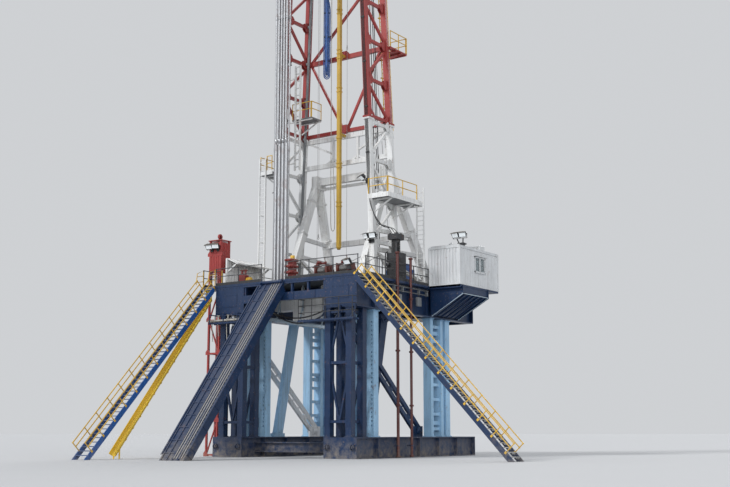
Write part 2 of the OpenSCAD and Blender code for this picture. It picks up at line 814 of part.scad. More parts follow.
module access_platforms() {
    color("gray") {
        over_well() {
            translate([-beside_x(left_board.z) - left_board.x, board_y, left_board.z])
                cube([left_board.x, left_board.y, board_t]);
            translate([beside_x(right_board.z), board_y, right_board.z])
                cube([right_board.x, right_board.y, board_t]);
            difference() {
                translate([balcony_end - balcony.x, behind_y(balcony.z), balcony.z])
                    cube([balcony.x, balcony.y, board_t]);
                translate(ladder_at(balcony.z) - [cage_r + 20, cage_r + 20, 1])
                    cube([2 * cage_r + 40, 2 * cage_r + 40, board_t + 2]);
            }
            translate([inner_x, inner_y, inner_board.z]) cube([inner_board.x, inner_board.y, board_t]);
            translate([inner_x, inner_y, inner_board.z]) cube([68, inner_end - inner_y, board_t]);
        }
        translate([-deck_w / 2 - stair_w, -deck_front - left_landing, landing_z])
            cube([stair_w, landing_l, floor_h - landing_z]);
        translate([-deck_w / 2 - stair_w, -deck_front + 60, box_top - 60.3])
            cube([stair_w + deck_lip, landing_l - 160, 60]);
    }
}

ladder_w = 230;
cage_r = 190;
rung_gap = 150;
function ladder_at(z) = [mast_x(z) - 260, mast_y(z) + chord / 2 + 215, z];

// Rails and rungs from height a to height b, with the ladder's middle at x, y
module plain_ladder(x, y, a, b) {
    for (s = [-1, 1]) translate([x + s * ladder_w / 2 - 12, y - 17, a]) cube([24, 34, b - a]);
    for (z = [a + rung_gap:rung_gap:b - 60])
        translate([x - ladder_w / 2, y - 8, z - 8]) cube([ladder_w, 16, 16]);
}

// A ladder up the back of the mast's right side, with safety hoops, and plain ladders to the
// two side platforms
module ladders() {
    bottom = a_top + 120;
    top = mast_top - 100;
    half = [ladder_w / 2, 0, 0];
    color("gold") {
        for (s = [-1, 1]) bar(ladder_at(bottom) + s * half, ladder_at(top) + s * half, 24, 34);
        for (z = [bottom + rung_gap:rung_gap:top - 50])
            translate(ladder_at(z) - [ladder_w / 2, 8, 8]) cube([ladder_w, 16, 16]);
        for (z = [bottom + 900:1050:top - 200]) translate(ladder_at(z)) {
            difference() {
                cylinder(h = 30, r = cage_r, $fn = 32);
                translate([0, 0, -1]) cylinder(h = 32, r = cage_r - 12, $fn = 32);
                translate([-cage_r - 1, -cage_r - 1, -1]) cube([2 * cage_r + 2, cage_r + 1, 32]);
            }
            for (x = [-cage_r, ladder_w / 2])
                translate([x, -6, 0]) cube([cage_r - ladder_w / 2, 12, 30]);
        }
        for (a = [45, 90, 135]) {
            reach = [(cage_r - 6) * cos(a), (cage_r - 6) * sin(a), 0];
            bar(ladder_at(bottom + 900) + reach, ladder_at(top - 300) + reach, 12, 22);
        }
        for (k = [5:2:15]) {
            z = level(k);
            translate([mast_x(z) - 60, behind_y(z), z - 30]) cube([60, 14, 60]);
            bar([mast_x(z) - 30, behind_y(z) + 10, z], ladder_at(z) + half, 30);
        }
        plain_ladder(-beside_x(left_board.z) - left_board.x + 150, board_y - 18, floor_h, left_board.z + 500);
        plain_ladder(beside_x(right_board.z) + right_board.x + 18, board_y + right_board.y - 200,
            floor_h, right_board.z + 500);
    }
}

module racking_board() {
    w = 2700;
    d = 1150;
    y = -mast_front - chord / 2 - d - 4;
    color("gray") {
        translate([-w / 2, y, board_z]) cube([w, 260, 60]);
        for (s = [-1, 1]) {
            translate([s > 0 ? w / 2 - 300 : -w / 2, y, board_z]) cube([300, d, 60]);
            bar([s * (w / 2 - 120), y + 130, board_z + 5], [s * (w / 2 - 120), -mast_front - chord / 2 - 60, board_z - 1100], 70);
            translate([s * (w / 2 - 120) - 60, -mast_front - chord / 2 - 84, board_z - 1200]) cube([120, 80, 260]);
            for (k = [0:4])
                translate([s > 0 ? 420 : -w / 2 + 250, y + 260 + 60 + k * 160, board_z + 10])
                    cube([w / 2 - 670, 50, 40]);
            for (k = [0:4])
                translate([s * 420 - 20, y + 255, board_z + 10]) cube([40, 5 * 160 + 10, 40]);
        }
        translate([-160, y + 240, board_z + 10]) cube([320, 620, 40]);
    }
}

module pipe_stand(l, r) {
    cylinder(h = l, r = r, $fn = 24);
    for (z = [0, l / 3 - 70, 2 * l / 3 - 70, l - 140]) translate([0, 0, z]) cylinder(h = 140, r = r + 9, $fn = 24);
}

module racked_pipes() {
    pipe_gap = 110;
    collar_gap = 140;
    stand_z = floor_h + 50;
    color("slategray") {
        for (i = [0:4]) for (j = [0:1])
            translate([-1536 + i * pipe_gap, -760 - j * 160, stand_z]) pipe_stand(stand_l, pipe_r);
        for (i = [0:3])
            translate([-1218 + i * collar_gap, -1250, stand_z]) cylinder(h = collar_l, r = collar_r, $fn = 24);
    }
}

ramp_x = -400;
ramp_rise = floor_h - 40;
ramp_run = ramp_rise / tan(ramp_angle);
ramp_rails = 5;

module pipe_ramp() {
    rail_w = 50;
    back = ramp_t / sin(ramp_angle);
    side = [[0, 0], [back, 0], [ramp_run, ramp_rise - back * tan(ramp_angle)], [ramp_run, ramp_rise]];
    color("midnightblue") translate([ramp_x - ramp_w / 2, -deck_front - ramp_run, 0]) {
        rotate([90, 0, 90]) linear_extrude(ramp_w) polygon(side);
        for (k = [0:ramp_rails - 1])
            translate([k * (ramp_w - rail_w) / (ramp_rails - 1), 0, 0]) rotate([90, 0, 90])
                linear_extrude(rail_w)
                    polygon([[0, 0], [20, 0], [ramp_run, ramp_rise - 20], [ramp_run, ramp_rise + 35], [-35, 0]]);
    }
}

// One flight of separate steps going down along +X from the origin, which is the floor's edge
module flight_treads() {
    for (k = [1:steps - 1])
        translate([(k - 1) * tread_d + 4, stringer_t, -k * riser - 14])
            cube([tread_d + 20, stair_w - 2 * stringer_t, 14]);
}

// Stringers with their handrails, as two flat frames. The posts stand square to the stringers.
module flight_frame() {
    drop = floor_h;
    lean = stringer_d / cos(stair_angle);
    posts = 12;
    down = [cos(stair_angle), 0, -sin(stair_angle)];
    out = [sin(stair_angle), 0, cos(stair_angle)];
    first = 40;
    last = drop / sin(stair_angle) - stair_rail - 20;
    for (y = [0, stair_w - stringer_t]) translate([0, y + stringer_t, 0]) {
        rotate([90, 0, 0]) linear_extrude(stringer_t) polygon([
            [0, 20], [0, 20 - lean], [(drop - lean + 20) / tan(stair_angle), -drop],
            [(drop + 20) / tan(stair_angle), -drop]
        ]);
        translate([0, -stringer_t / 2, 0]) {
            for (k = [0:posts]) {
                p = down * (first + k * (last - first) / posts);
                bar(p - out * 50, p + out * stair_rail, rail_t);
            }
            for (h = [stair_rail, stair_rail * 0.52])
                bar(down * (first - 12) + out * h, down * (last + 12) + out * h, rail_t + 2);
        }
    }
}

// The right flight goes down sideways, the left flight down to the front
module place_right_flight() { translate([deck_w / 2, -deck_front - 200, floor_h]) children(); }
module place_left_flight() {
    translate([-deck_w / 2 - stair_w, -deck_front - left_landing, floor_h])
        rotate([0, 0, -90]) mirror([0, 1, 0]) translate([0, -stair_w, 0]) children();
}

module stair_right_treads() { color("silver") place_right_flight() flight_treads(); }
module stair_right_frame() { color("gold") place_right_flight() flight_frame(); }
module stair_left_treads() { color("silver") place_left_flight() flight_treads(); }
module stair_left_frame() {
    color("royalblue") place_left_flight() flight_frame();
}

// The slide runs down under the left flight, hung from its landing
module escape_slide() {
    start = [-deck_w / 2 - stair_w / 2, -deck_front, floor_h - 385];
    end_z = slide_r + 20;
    angle = 51.3;
    l = (start.z - end_z) / sin(angle);
    foot = start - [0, (l - 260) * cos(angle), (l - 260) * sin(angle)];
    color("gold") {
        translate([start.x - slide_r, start.y, start.z - 30])
            cube([2 * slide_r, 16, landing_z - start.z + 30]);
        for (x = [-slide_r, slide_r - 30])
            translate([start.x + x, foot.y - 15, 0]) cube([30, 30, foot.z + 20]);
        translate(start) rotate([angle, 0, 0]) rotate([90, 0, 0]) {
            linear_extrude(l) difference() {
                circle(r = slide_r, $fn = 48);
                circle(r = slide_r - slide_t, $fn = 48);
                translate([-slide_r - 1, 0]) square([2 * slide_r + 2, slide_r + 1]);
            }
            for (z = [420:420:l - 300]) translate([0, 0, z]) linear_extrude(24) difference() {
                circle(r = slide_r + 14, $fn = 48);
                circle(r = slide_r - slide_t, $fn = 48);
                translate([-slide_r - 20, 0]) square([2 * slide_r + 40, slide_r + 20]);
            }
        }
    }
}

// A handrail panel along Y
module rail_along(l) { rotate([0, 0, 90]) rail_panel(l); }

module railings() {
    z = floor_h;
    y0 = -deck_front + 10;
    x0 = deck_w / 2 - 4;
    color("gold") {
        translate([-deck_w / 2 + 10, y0, z]) rail_panel(ramp_x - ramp_w / 2 - 30 + deck_w / 2);
        translate([ramp_x + ramp_w / 2 + 20, y0, z]) rail_panel(deck_w / 2 - ramp_x - ramp_w / 2 - 30);
        translate([x0, -deck_front + stair_w - 130, z])
            rail_along(deck_front + doghouse_y - stair_w + 100);
        translate([-deck_w / 2 + 4 + rail_t, -300, z]) rail_along(deck_back + 260);
        translate([-deck_w / 2 + 40, deck_back - rail_t - 4, z]) rail_panel(deck_w - 80);
        translate([-deck_w / 2 - stair_w + rail_t + 2, -deck_front - left_landing + 30, z])
            rail_along(landing_l - 60);
        translate([-deck_w / 2 - stair_w + rail_t + 12, -deck_front - left_landing + landing_l - rail_t - 2, z])
            rail_panel(stair_w - rail_t - 22);
        over_well() mast_railings();
    }
}

module mast_railings() {
    lx = -beside_x(left_board.z) - left_board.x;
    rx = beside_x(right_board.z);
    bx = balcony_end - balcony.x;
    by = behind_y(balcony.z);
    cx = mast_top_x + 500;
    cf = mast_front + 480;
    cb = mast_rear_top + 480;
    translate([lx + 300, board_y, left_board.z + board_t]) rail_panel(left_board.x - 320);
    translate([lx + rail_t, board_y + rail_t + 10, left_board.z + board_t])
        rail_along(left_board.y - rail_t - 10);
    translate([rx + right_board.x, board_y, right_board.z + board_t]) rail_along(right_board.y - 350);
    translate([rx + 6, board_y, right_board.z + board_t]) rail_panel(right_board.x - rail_t - 20);
    translate([balcony_end, by, balcony.z + board_t]) rail_along(balcony.y);
    translate([bx, by + balcony.y - rail_t, balcony.z + board_t]) rail_panel(balcony.x - rail_t - 10);
    translate([inner_x, inner_y, inner_board.z + board_t]) rail_panel(inner_board.x - rail_t - 10);
    translate([inner_x + inner_board.x, inner_y, inner_board.z + board_t]) rail_along(inner_board.y - 5);
    for (x = [-cx + rail_t, cx]) translate([x, -cf, crown_z + 30]) rail_along(cf + cb);
    translate([-cx + rail_t + 10, -cf, crown_z + 30]) rail_panel(2 * cx - 2 * rail_t - 20);
}

dog_x = deck_w / 2;
window_w = 600;
window_h = 420;
window_z = 520;

module doghouse_walls() {
    color("gainsboro") translate([dog_x, doghouse_y, floor_h]) difference() {
        cube([doghouse_w, doghouse_l, doghouse_h]);
        translate([wall_t, wall_t, -1]) cube([doghouse_w - 2 * wall_t, doghouse_l - 2 * wall_t, doghouse_h + 2]);
        translate([-1, 300, -1]) cube([wall_t + 2, door_w, door_h + 1]);
        translate([doghouse_w - wall_t - 1, 950, window_z]) cube([wall_t + 2, window_w, window_h]);
        translate([-1, 1300, window_z]) cube([wall_t + 2, window_w, window_h]);
    }
}

module doghouse_window() {
    color("lightblue") translate([dog_x, doghouse_y, floor_h + window_z])
        for (p = [[doghouse_w - wall_t / 2 - 4, 950], [wall_t / 2 - 4, 1300]])
            translate([p.x, p.y, 0]) cube([8, window_w, window_h]);
}

module doghouse_roof() {
    color("gainsboro") translate([dog_x, doghouse_y, floor_h + doghouse_h]) {
        translate([0, -20, 0]) cube([doghouse_w + 20, doghouse_l + 40, 30]);
        for (k = [0:8]) translate([20, 100 + k * (doghouse_l - 240) / 8, 30]) cube([doghouse_w - 40, 40, 16]);
    }
}

module doghouse_floor() {
    color("midnightblue") translate([dog_x + wall_t + 1, doghouse_y + wall_t + 1, floor_h])
        cube([doghouse_w - 2 * wall_t - 2, doghouse_l - 2 * wall_t - 2, 24]);
}

module doghouse_bracket() {
    deep = 880;
    shallow = 240;
    body_y = 130;
    body_l = doghouse_l * 0.66;
    edge = 60;
    color("midnightblue") translate([dog_x, doghouse_y, floor_h]) {
        translate([0, 0, -plate_t]) cube([doghouse_w, doghouse_l, plate_t]);
        translate([0, body_y + body_l, 0]) rotate([90, 0, 0]) linear_extrude(body_l)
            polygon([
                [0, -1], [0, -plate_t], [-deck_lip, -plate_t], [-deck_lip, -deep],
                [doghouse_w, -shallow], [doghouse_w, -1]
            ]);
        for (y = [body_y + 10, body_y + body_l + 10])
            translate([0, y, 0]) rotate([90, 0, 0]) linear_extrude(20)
                polygon([[0, 0], [0, -deep - edge], [doghouse_w + 40, -shallow - edge], [doghouse_w + 40, 0]]);
    }
}

module hoist_tower() {
    w = hoist_w;
    d = 440;
    x0 = -deck_w / 2 - w - hoist_gap;
    y0 = -deck_front + 430;
    h = floor_h + 1550;
    p = 60;
    color("firebrick") {
        for (x = [x0, x0 + w - p]) for (y = [y0, y0 + d - p]) translate([x, y, 0]) cube([p, p, h]);
        for (z = [20:1050:h - 40]) {
            for (y = [y0 + 5, y0 + d - p + 5]) translate([x0, y, z]) cube([w, 50, 50]);
            for (x = [x0 + 5, x0 + w - p + 5]) translate([x, y0, z]) cube([50, d, 50]);
        }
        for (k = [0:4]) {
            za = 45 + k * 1050;
            bar([x0 + p / 2, y0 + p / 2, k % 2 == 0 ? za : za + 1050],
                [x0 + w - p / 2, y0 + p / 2, k % 2 == 0 ? za + 1050 : za], 36);
        }
        translate([x0 + 10, y0 + 10, floor_h]) cube([w - 20, d - 20, 30]);
        translate([x0 + 15, y0 + 15, floor_h + 500]) cube([w - 30, 20, 1000]);
        translate([x0 + w - 35, y0 + 15, floor_h + 500]) cube([20, d - 30, 1000]);
        for (y = [y0, y0 + d - p]) translate([x0 + w, y, box_top]) cube([hoist_gap, p, plate_t]);
    }
}

module wind_wall() {
    l = 1700;
    h = 950;
    color("white") translate([-deck_w / 2 + 4, -deck_front + 500, floor_h]) {
        cube([30, l, h]);
        for (k = [0:12]) translate([28, 20 + k * (l - 80) / 12, 0]) cube([20, 40, h - 30]);
        translate([0, 0, h]) rotate([0, 25, 0]) cube([520, l, 20]);
        for (y = [40, l - 80]) bar([30, y + 20, h - 420], [400, y + 20, h - 180], 40);
    }
}

module winch() {
    cube([520, 420, 50]);
    for (x = [30, 450]) translate([x, 40, 50]) cube([40, 340, 330]);
    translate([60, 210, 230]) rotate([0, 90, 0]) cylinder(h = 400, r = 90, $fn = 32);
    for (x = [70, 420]) translate([x, 210, 230]) rotate([0, 90, 0]) cylinder(h = 25, r = 165, $fn = 32);
    translate([400, 210, 230]) rotate([0, 90, 0]) cylinder(h = 150, r = 110, $fn = 32);
}

module winches() {
    color("brown") {
        translate([950, -2350, floor_h]) winch();
        translate([1750, -2350, floor_h]) winch();
    }
}

placed() base_skids();
placed() base_cross_beams();
placed() front_towers();
placed() front_legs();
placed() rear_legs();
placed() side_braces();
placed() upper_boxes();
placed() floor_beams();
placed() front_beam();
placed() under_floor_boxes();
placed() floor_plate();
placed() over_well() rotary_table();
placed() over_well() drawworks();
placed() deck_machine();
placed() over_well() mast_left_lower();
placed() over_well() mast_left_middle();
placed() over_well() mast_left_upper();
placed() over_well() mast_right_lower();
placed() over_well() mast_right_middle();
placed() over_well() mast_right_upper();
placed() over_well() mast_back_lower();
placed() over_well() mast_back_middle();
placed() over_well() mast_back_upper();
placed() over_well() crown_block();
placed() over_well() crown_sheaves();
placed() over_well() racking_board();
placed() over_well() guide_rail();
placed() over_well() travelling_block();
placed() over_well() drilling_lines();
placed() over_well() service_hose();
placed() over_well() standpipe();
placed() over_well() a_frames();
placed() over_well() a_frame_beams();
placed() access_platforms();
placed() over_well() ladders();
placed() over_well() racked_pipes();
placed() pipe_ramp();
placed() stair_left_treads();
placed() stair_left_frame();
placed() stair_right_treads();
placed() stair_right_frame();
placed() escape_slide();
placed() railings();
placed() doghouse_walls();
placed() doghouse_roof();
placed() doghouse_floor();
placed() doghouse_bracket();
placed() doghouse_window();
placed() hoist_tower();
placed() wind_wall();
placed() winches();
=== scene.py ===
# Looks of the oil drilling rig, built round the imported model
import math
from itertools import product

import bpy
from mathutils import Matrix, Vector


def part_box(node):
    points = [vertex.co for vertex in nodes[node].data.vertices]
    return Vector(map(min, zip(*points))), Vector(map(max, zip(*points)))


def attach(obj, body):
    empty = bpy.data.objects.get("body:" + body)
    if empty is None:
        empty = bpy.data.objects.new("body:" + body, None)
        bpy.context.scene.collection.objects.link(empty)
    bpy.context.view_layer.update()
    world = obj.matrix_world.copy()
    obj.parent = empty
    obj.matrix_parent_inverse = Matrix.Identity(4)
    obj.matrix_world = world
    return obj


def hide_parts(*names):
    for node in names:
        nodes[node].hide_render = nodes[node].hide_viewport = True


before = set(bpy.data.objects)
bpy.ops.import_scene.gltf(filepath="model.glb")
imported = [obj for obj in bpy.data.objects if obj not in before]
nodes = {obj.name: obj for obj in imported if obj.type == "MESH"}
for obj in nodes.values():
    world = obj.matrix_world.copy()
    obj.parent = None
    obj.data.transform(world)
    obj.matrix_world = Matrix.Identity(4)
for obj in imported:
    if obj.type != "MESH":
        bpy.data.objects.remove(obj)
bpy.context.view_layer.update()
scene = bpy.context.scene


def vec(*p):
    return Vector(p)


# The source's own levels and edges; the well centre stands over WELL on the ground
FLOOR, BOX_LOW, SKID = 5.25, 4.30, 0.60
DECK_FRONT, DECK_BACK, DECK_HALF = -2.55, 4.15, 2.75
MAST_X, BOARD_Z, BLOCK_Z, CROWN_Z = -0.2, FLOOR + 13.0, 18.65, 28.075
LEG_Y, BRACE_X, REAR_LEG_X, RAIL_Y = -1.325, 2.03, 2.40, 0.525
LEFT_FLIGHT, RIGHT_FLIGHT = (-3.27, -2.57, FLOOR), (DECK_HALF, -2.75, FLOOR)
STAIR_SLOPE = math.tan(math.radians(46.56))
X, Y, Z = vec(1, 0, 0), vec(0, 1, 0), vec(0, 0, 1)
SIDES = (-1, 1)
plate_low, plate_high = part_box("floor_plate")
WELL = vec((plate_low.x + plate_high.x) / 2, plate_low.y - DECK_FRONT, 0)

# Camera, from the photograph's vanishing points
camera_data = bpy.data.cameras.new("camera")
camera_data.sensor_width = 36
camera_data.lens = 55.23
camera_data.clip_end = 600
camera = bpy.data.objects.new("camera", camera_data)
camera.location = WELL + vec(21.10247, -28.41047, 0.75)
camera.rotation_euler = (math.radians(99.55), 0, math.radians(35))
scene.collection.objects.link(camera)
scene.camera = camera


# Mesh building
def axes(d, hint=None):
    """Two directions square to d, and d itself."""
    d = d.normalized()
    hint = Vector(hint) if hint else Z
    if abs(d.dot(hint.normalized())) > 0.97:
        hint = X if abs(d.x) < 0.9 else Y
    u = hint.cross(d).normalized()
    return u, d.cross(u), d


def circle(r, n):
    """The n points of a circle of radius r."""
    turns = [2 * math.pi * i / n for i in range(n)]
    return [(r * math.cos(a), r * math.sin(a)) for a in turns]


# The faces of a chamfered box, all looking outward: eight corners, six sides and twelve edges
CORNERS = list(product((0, 1), repeat=3))
BLOCK_FACES = [[3 * n, 3 * n + 1, 3 * n + 2][::1 if sum(c) % 2 else -1] for n, c in enumerate(CORNERS)]
for a, s in product(range(3), (0, 1)):
    b, c = (a + 1) % 3, (a + 2) % 3
    at = {}
    for p, q in product((0, 1), repeat=2):
        key = [0, 0, 0]
        key[a], key[b], key[c] = s, p, q
        at[p, q] = CORNERS.index(tuple(key)) * 3
    BLOCK_FACES.append([at[p, q] + a for p, q in ((0, 0), (1, 0), (1, 1), (0, 1))][::1 if s else -1])
    for p in (0, 1):
        edge = [at[p, 0] + a, at[p, 1] + a, at[p, 1] + b, at[p, 0] + b]
        BLOCK_FACES.append(edge[::-1 if s == p else 1])


class Shape:
    """Gathers faces, in metres from an origin beside the well, and turns them into one object."""

    def __init__(self, *origin):
        self.points, self.faces, self.smooth, self.kinds = [], [], [], []
        self.kind = 0
        self.move(*(origin or (0, 0, 0)))

    def move(self, x, y, z):
        self.origin = WELL + vec(x, y, z)

    def add(self, points, faces, smooth=False):
        start = len(self.points)
        self.points += [p + self.origin for p in points]
        self.faces += [[i + start for i in f] for f in faces]
        self.smooth += [smooth] * len(faces)
        self.kinds += [self.kind] * len(faces)

    def block(self, o, u, v, w, c=0.004):
        """A box about o with half edges u, v, w and its edges chamfered by c."""
        o, h = Vector(o), [u, v, w] if u.cross(v).dot(w) > 0 else [v, u, w]
        cut = [min(c / max(x.length, 1e-6), 0.45) for x in h]
        points = []
        for corner, a in product(CORNERS, range(3)):
            p = o.copy()
            for b in range(3):
                p += h[b] * ((2 * corner[b] - 1) * (1 if a == b else 1 - cut[b]))
            points.append(p)
        self.add(points, BLOCK_FACES)

    def cube(self, o, x, y, z, c=0.004):
        """A box about o with half sizes x, y and z."""
        self.block(o, X * x, Y * y, Z * z, c)

    def box(self, p, q, c=0.004):
        """A box between two opposite corners."""
        p, q = Vector(p), Vector(q)
        self.cube((p + q) / 2, *(abs(e) / 2 for e in q - p), c)

    def bar(self, p, q, w, t=None, hint=None, c=0.004):
        """A square bar from p to q, w wide along the first axis and t along the second."""
        p, q = Vector(p), Vector(q)
        u, v, d = axes(q - p, hint)
        self.block((p + q) / 2, u * w / 2, v * (t or w) / 2, d * (q - p).length / 2, c)

    def lathe(self, o, d, profile, n=16, smooth=True):
        """A profile of (radius, height) points turned about the axis d through o."""
        o = Vector(o)
        u, v, d = axes(Vector(d))
        points, rings, faces = [], [], []
        for r, h in profile:
            if r < 1e-5:
                rings.append([len(points)])
                points.append(o + d * h)
            else:
                rings.append(list(range(len(points), len(points) + n)))
                points += [o + d * h + u * a + v * b for a, b in circle(r, n)]
        for low, high in zip(rings, rings[1:]):
            for i in range(n):
                j = (i + 1) % n
                if len(low) == 1 and len(high) > 1:
                    faces.append([low[0], high[j], high[i]])
                elif len(high) == 1 and len(low) > 1:
                    faces.append([low[i], low[j], high[0]])
                elif len(low) > 1:
                    faces.append([low[i], low[j], high[j], high[i]])
        self.add(points, faces, smooth)

    def drum(self, o, d, r, n=16):
        """A closed cylinder from o along d, as long as d, with a small chamfer at both ends."""
        l = d.length
        c = min(0.003, r / 3, l / 3)
        self.lathe(o, d, [(0, 0), (r - c, 0), (r, c), (r, l - c), (r - c, l), (0, l)], n)

    def tube(self, route, r, n=8):
        """A closed round tube along a route of points."""
        route = [Vector(p) for p in route]
        u = None
        points = []
        for i, p in enumerate(route):
            d = (route[min(i + 1, len(route) - 1)] - route[max(i - 1, 0)]).normalized()
            u = axes(d)[0] if u is None else (u - d * u.dot(d)).normalized()
            points += [p + u * a + d.cross(u) * b for a, b in circle(r, n)]
        faces = []
        for i, k in product(range(len(route) - 1), range(n)):
            a, b = i * n + k, i * n + (k + 1) % n
            faces.append([a, b, b + n, a + n])
        self.add(points, faces, True)
        self.add(points[:n], [list(range(n))[::-1]])
        self.add(points[-n:], [list(range(n))])

    def rod(self, o, d, r, n=8):
        """A plain round bar from o along d, as long as d."""
        self.tube([o, Vector(o) + d], r, n)

    def ring(self, o, d, r, t, n=24, m=8):
        """A round ring of radius r and rod radius t."""
        profile = [(r + a, b) for a, b in circle(t, m)]
        self.lathe(o, d, profile + profile[:1], n)

    def flange(self, o, d, r, out, t, n=16):
        """A collar that stands out from a pipe of radius r, t thick along d."""
        self.lathe(o, d, [(r, 0), (r + out, 0), (r + out, t), (r, t)], n)

    def bolt(self, o, d, r=0.014, h=0.012):
        """A hexagon head with its washer."""
        self.lathe(o, d, [(r * 1.5, 0), (r * 1.5, h * 0.2), (r, h * 0.2)], 8, False)
        self.lathe(o, d, [(r, h * 0.2), (r, h * 0.85), (r * 0.82, h), (0, h)], 6, False)

    def nut(self, o, d, r=0.012, h=0.014):
        """A plain hexagon head."""
        self.lathe(o, d, [(r, 0), (r, h * 0.8), (r * 0.8, h), (0, h)], 6, False)

    def nuts(self, p, q, n, d, r=0.012, h=0.014):
        """A row of n heads from p to q, standing along d."""
        p, q = Vector(p), Vector(q)
        for i in range(n):
            self.nut(p.lerp(q, i / max(n - 1, 1)), d, r, h)

    def plate(self, outline, o, u, v, t):
        """A flat plate: its outline in (u, v), t thick, half on each side of o."""
        w = u.cross(v) * t / 2
        n = len(outline)
        flat = [Vector(o) + u * a + v * b for a, b in outline]
        faces = [list(range(n))[::-1], list(range(n, 2 * n))]
        faces += [[i, (i + 1) % n, (i + 1) % n + n, i + n] for i in range(n)]
        self.add([p - w for p in flat] + [p + w for p in flat], faces)

    def row(self, n, step, make, *args):
        """What the method make adds, n times, each moved on by step."""
        start = self.origin
        for i in range(n):
            self.origin = start + step * i
            make(*args)
        self.origin = start

    def build(self, name, materials, slot):
        mesh = bpy.data.meshes.new(name)
        mesh.from_pydata(self.points, [], self.faces)
        mesh.polygons.foreach_set("use_smooth", self.smooth)
        for m in materials if isinstance(materials, list) else [materials]:
            mesh.materials.append(m)
        mesh.polygons.foreach_set("material_index", self.kinds)
        mesh.update()
        obj = bpy.data.objects.new(name, mesh)
        scene.collection.objects.link(obj)
        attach(obj, "root")
        return obj


# Materials
class Tree:
    """A node tree, written as nested calls."""

    def __init__(self, tree):
        self.tree = tree

    def node(self, kind, values=None, **settings):
        n = self.tree.nodes.new("ShaderNode" + kind)
        for key, value in settings.items():
            setattr(n, key, value)
        for key, value in (values or {}).items():
            self.put(n.inputs[key], value)
        return n

    def put(self, socket, value):
        if isinstance(value, bpy.types.NodeSocket):
            self.tree.links.new(value, socket)
        elif value is not None:
            socket.default_value = value

    def math(self, how, a, b=None):
        return self.node("Math", {0: a, 1: b}, operation=how).outputs[0]

    def times(self, a, b):
        return self.math("MULTIPLY", a, b)

    def plus(self, a, b):
        return self.math("ADD", a, b)

    def most(self, a, b):
        return self.math("MAXIMUM", a, b)

    def mix(self, fac, a, b, how="MIX"):
        """Two colours mixed; sockets 0, 6, 7 and 2 are the factor, the colours and the result."""
        a, b = (c if isinstance(c, bpy.types.NodeSocket) else (*c, 1) for c in (a, b))
        return self.node("Mix", data_type="RGBA", blend_type=how, values={0: fac, 6: a, 7: b}).outputs[2]


class Graph(Tree):
    """The node tree of a new material."""

    def __init__(self, name, colour=None):
        self.material = bpy.data.materials.new(name)
        self.material.use_nodes = True
        if colour:
            self.material.diffuse_color = (*colour, 1)
        super().__init__(self.material.node_tree)
        self.shader = self.tree.nodes["Principled BSDF"]
        self.place = self.node("TexCoord").outputs["Object"]

    def set(self, **values):
        for key, value in values.items():
            self.put(self.shader.inputs[key.replace("_", " ")], value)

    def noise(self, scale, detail=5, rough=0.6, place=None):
        values = {"Scale": scale, "Detail": detail, "Roughness": rough, "Vector": place or self.place}
        return self.node("TexNoise", values).outputs["Fac"]

    def stretch(self, x, y, z):
        return self.node("Mapping", {"Vector": self.place, "Scale": (x, y, z)}).outputs["Vector"]

    def span(self, value, a, b, low=0.0, high=1.0):
        """value taken from the span a to b onto the span low to high, held at its ends."""
        values = {"Value": value, "From Min": a, "From Max": b, "To Min": low, "To Max": high}
        return self.node("MapRange", values).outputs["Result"]

    def bump(self, height, strength, distance, normal=None):
        values = {"Height": height, "Strength": strength, "Distance": distance, "Normal": normal}
        return self.node("Bump", values).outputs["Normal"]

    def along(self, axis):
        """The place's X, Y or Z."""
        return self.node("SeparateXYZ", {"Vector": self.place}).outputs[axis]

    def facing_up(self):
        normal = self.node("NewGeometry").outputs["Normal"]
        return self.node("SeparateXYZ", {"Vector": normal}).outputs["Z"]


RUST_DARK, RUST_LIGHT = (0.10, 0.035, 0.015), (0.30, 0.12, 0.045)
MUD = (0.34, 0.29, 0.22)


def shade(colour, k):
    return tuple(min(c * k, 0.92) for c in colour)


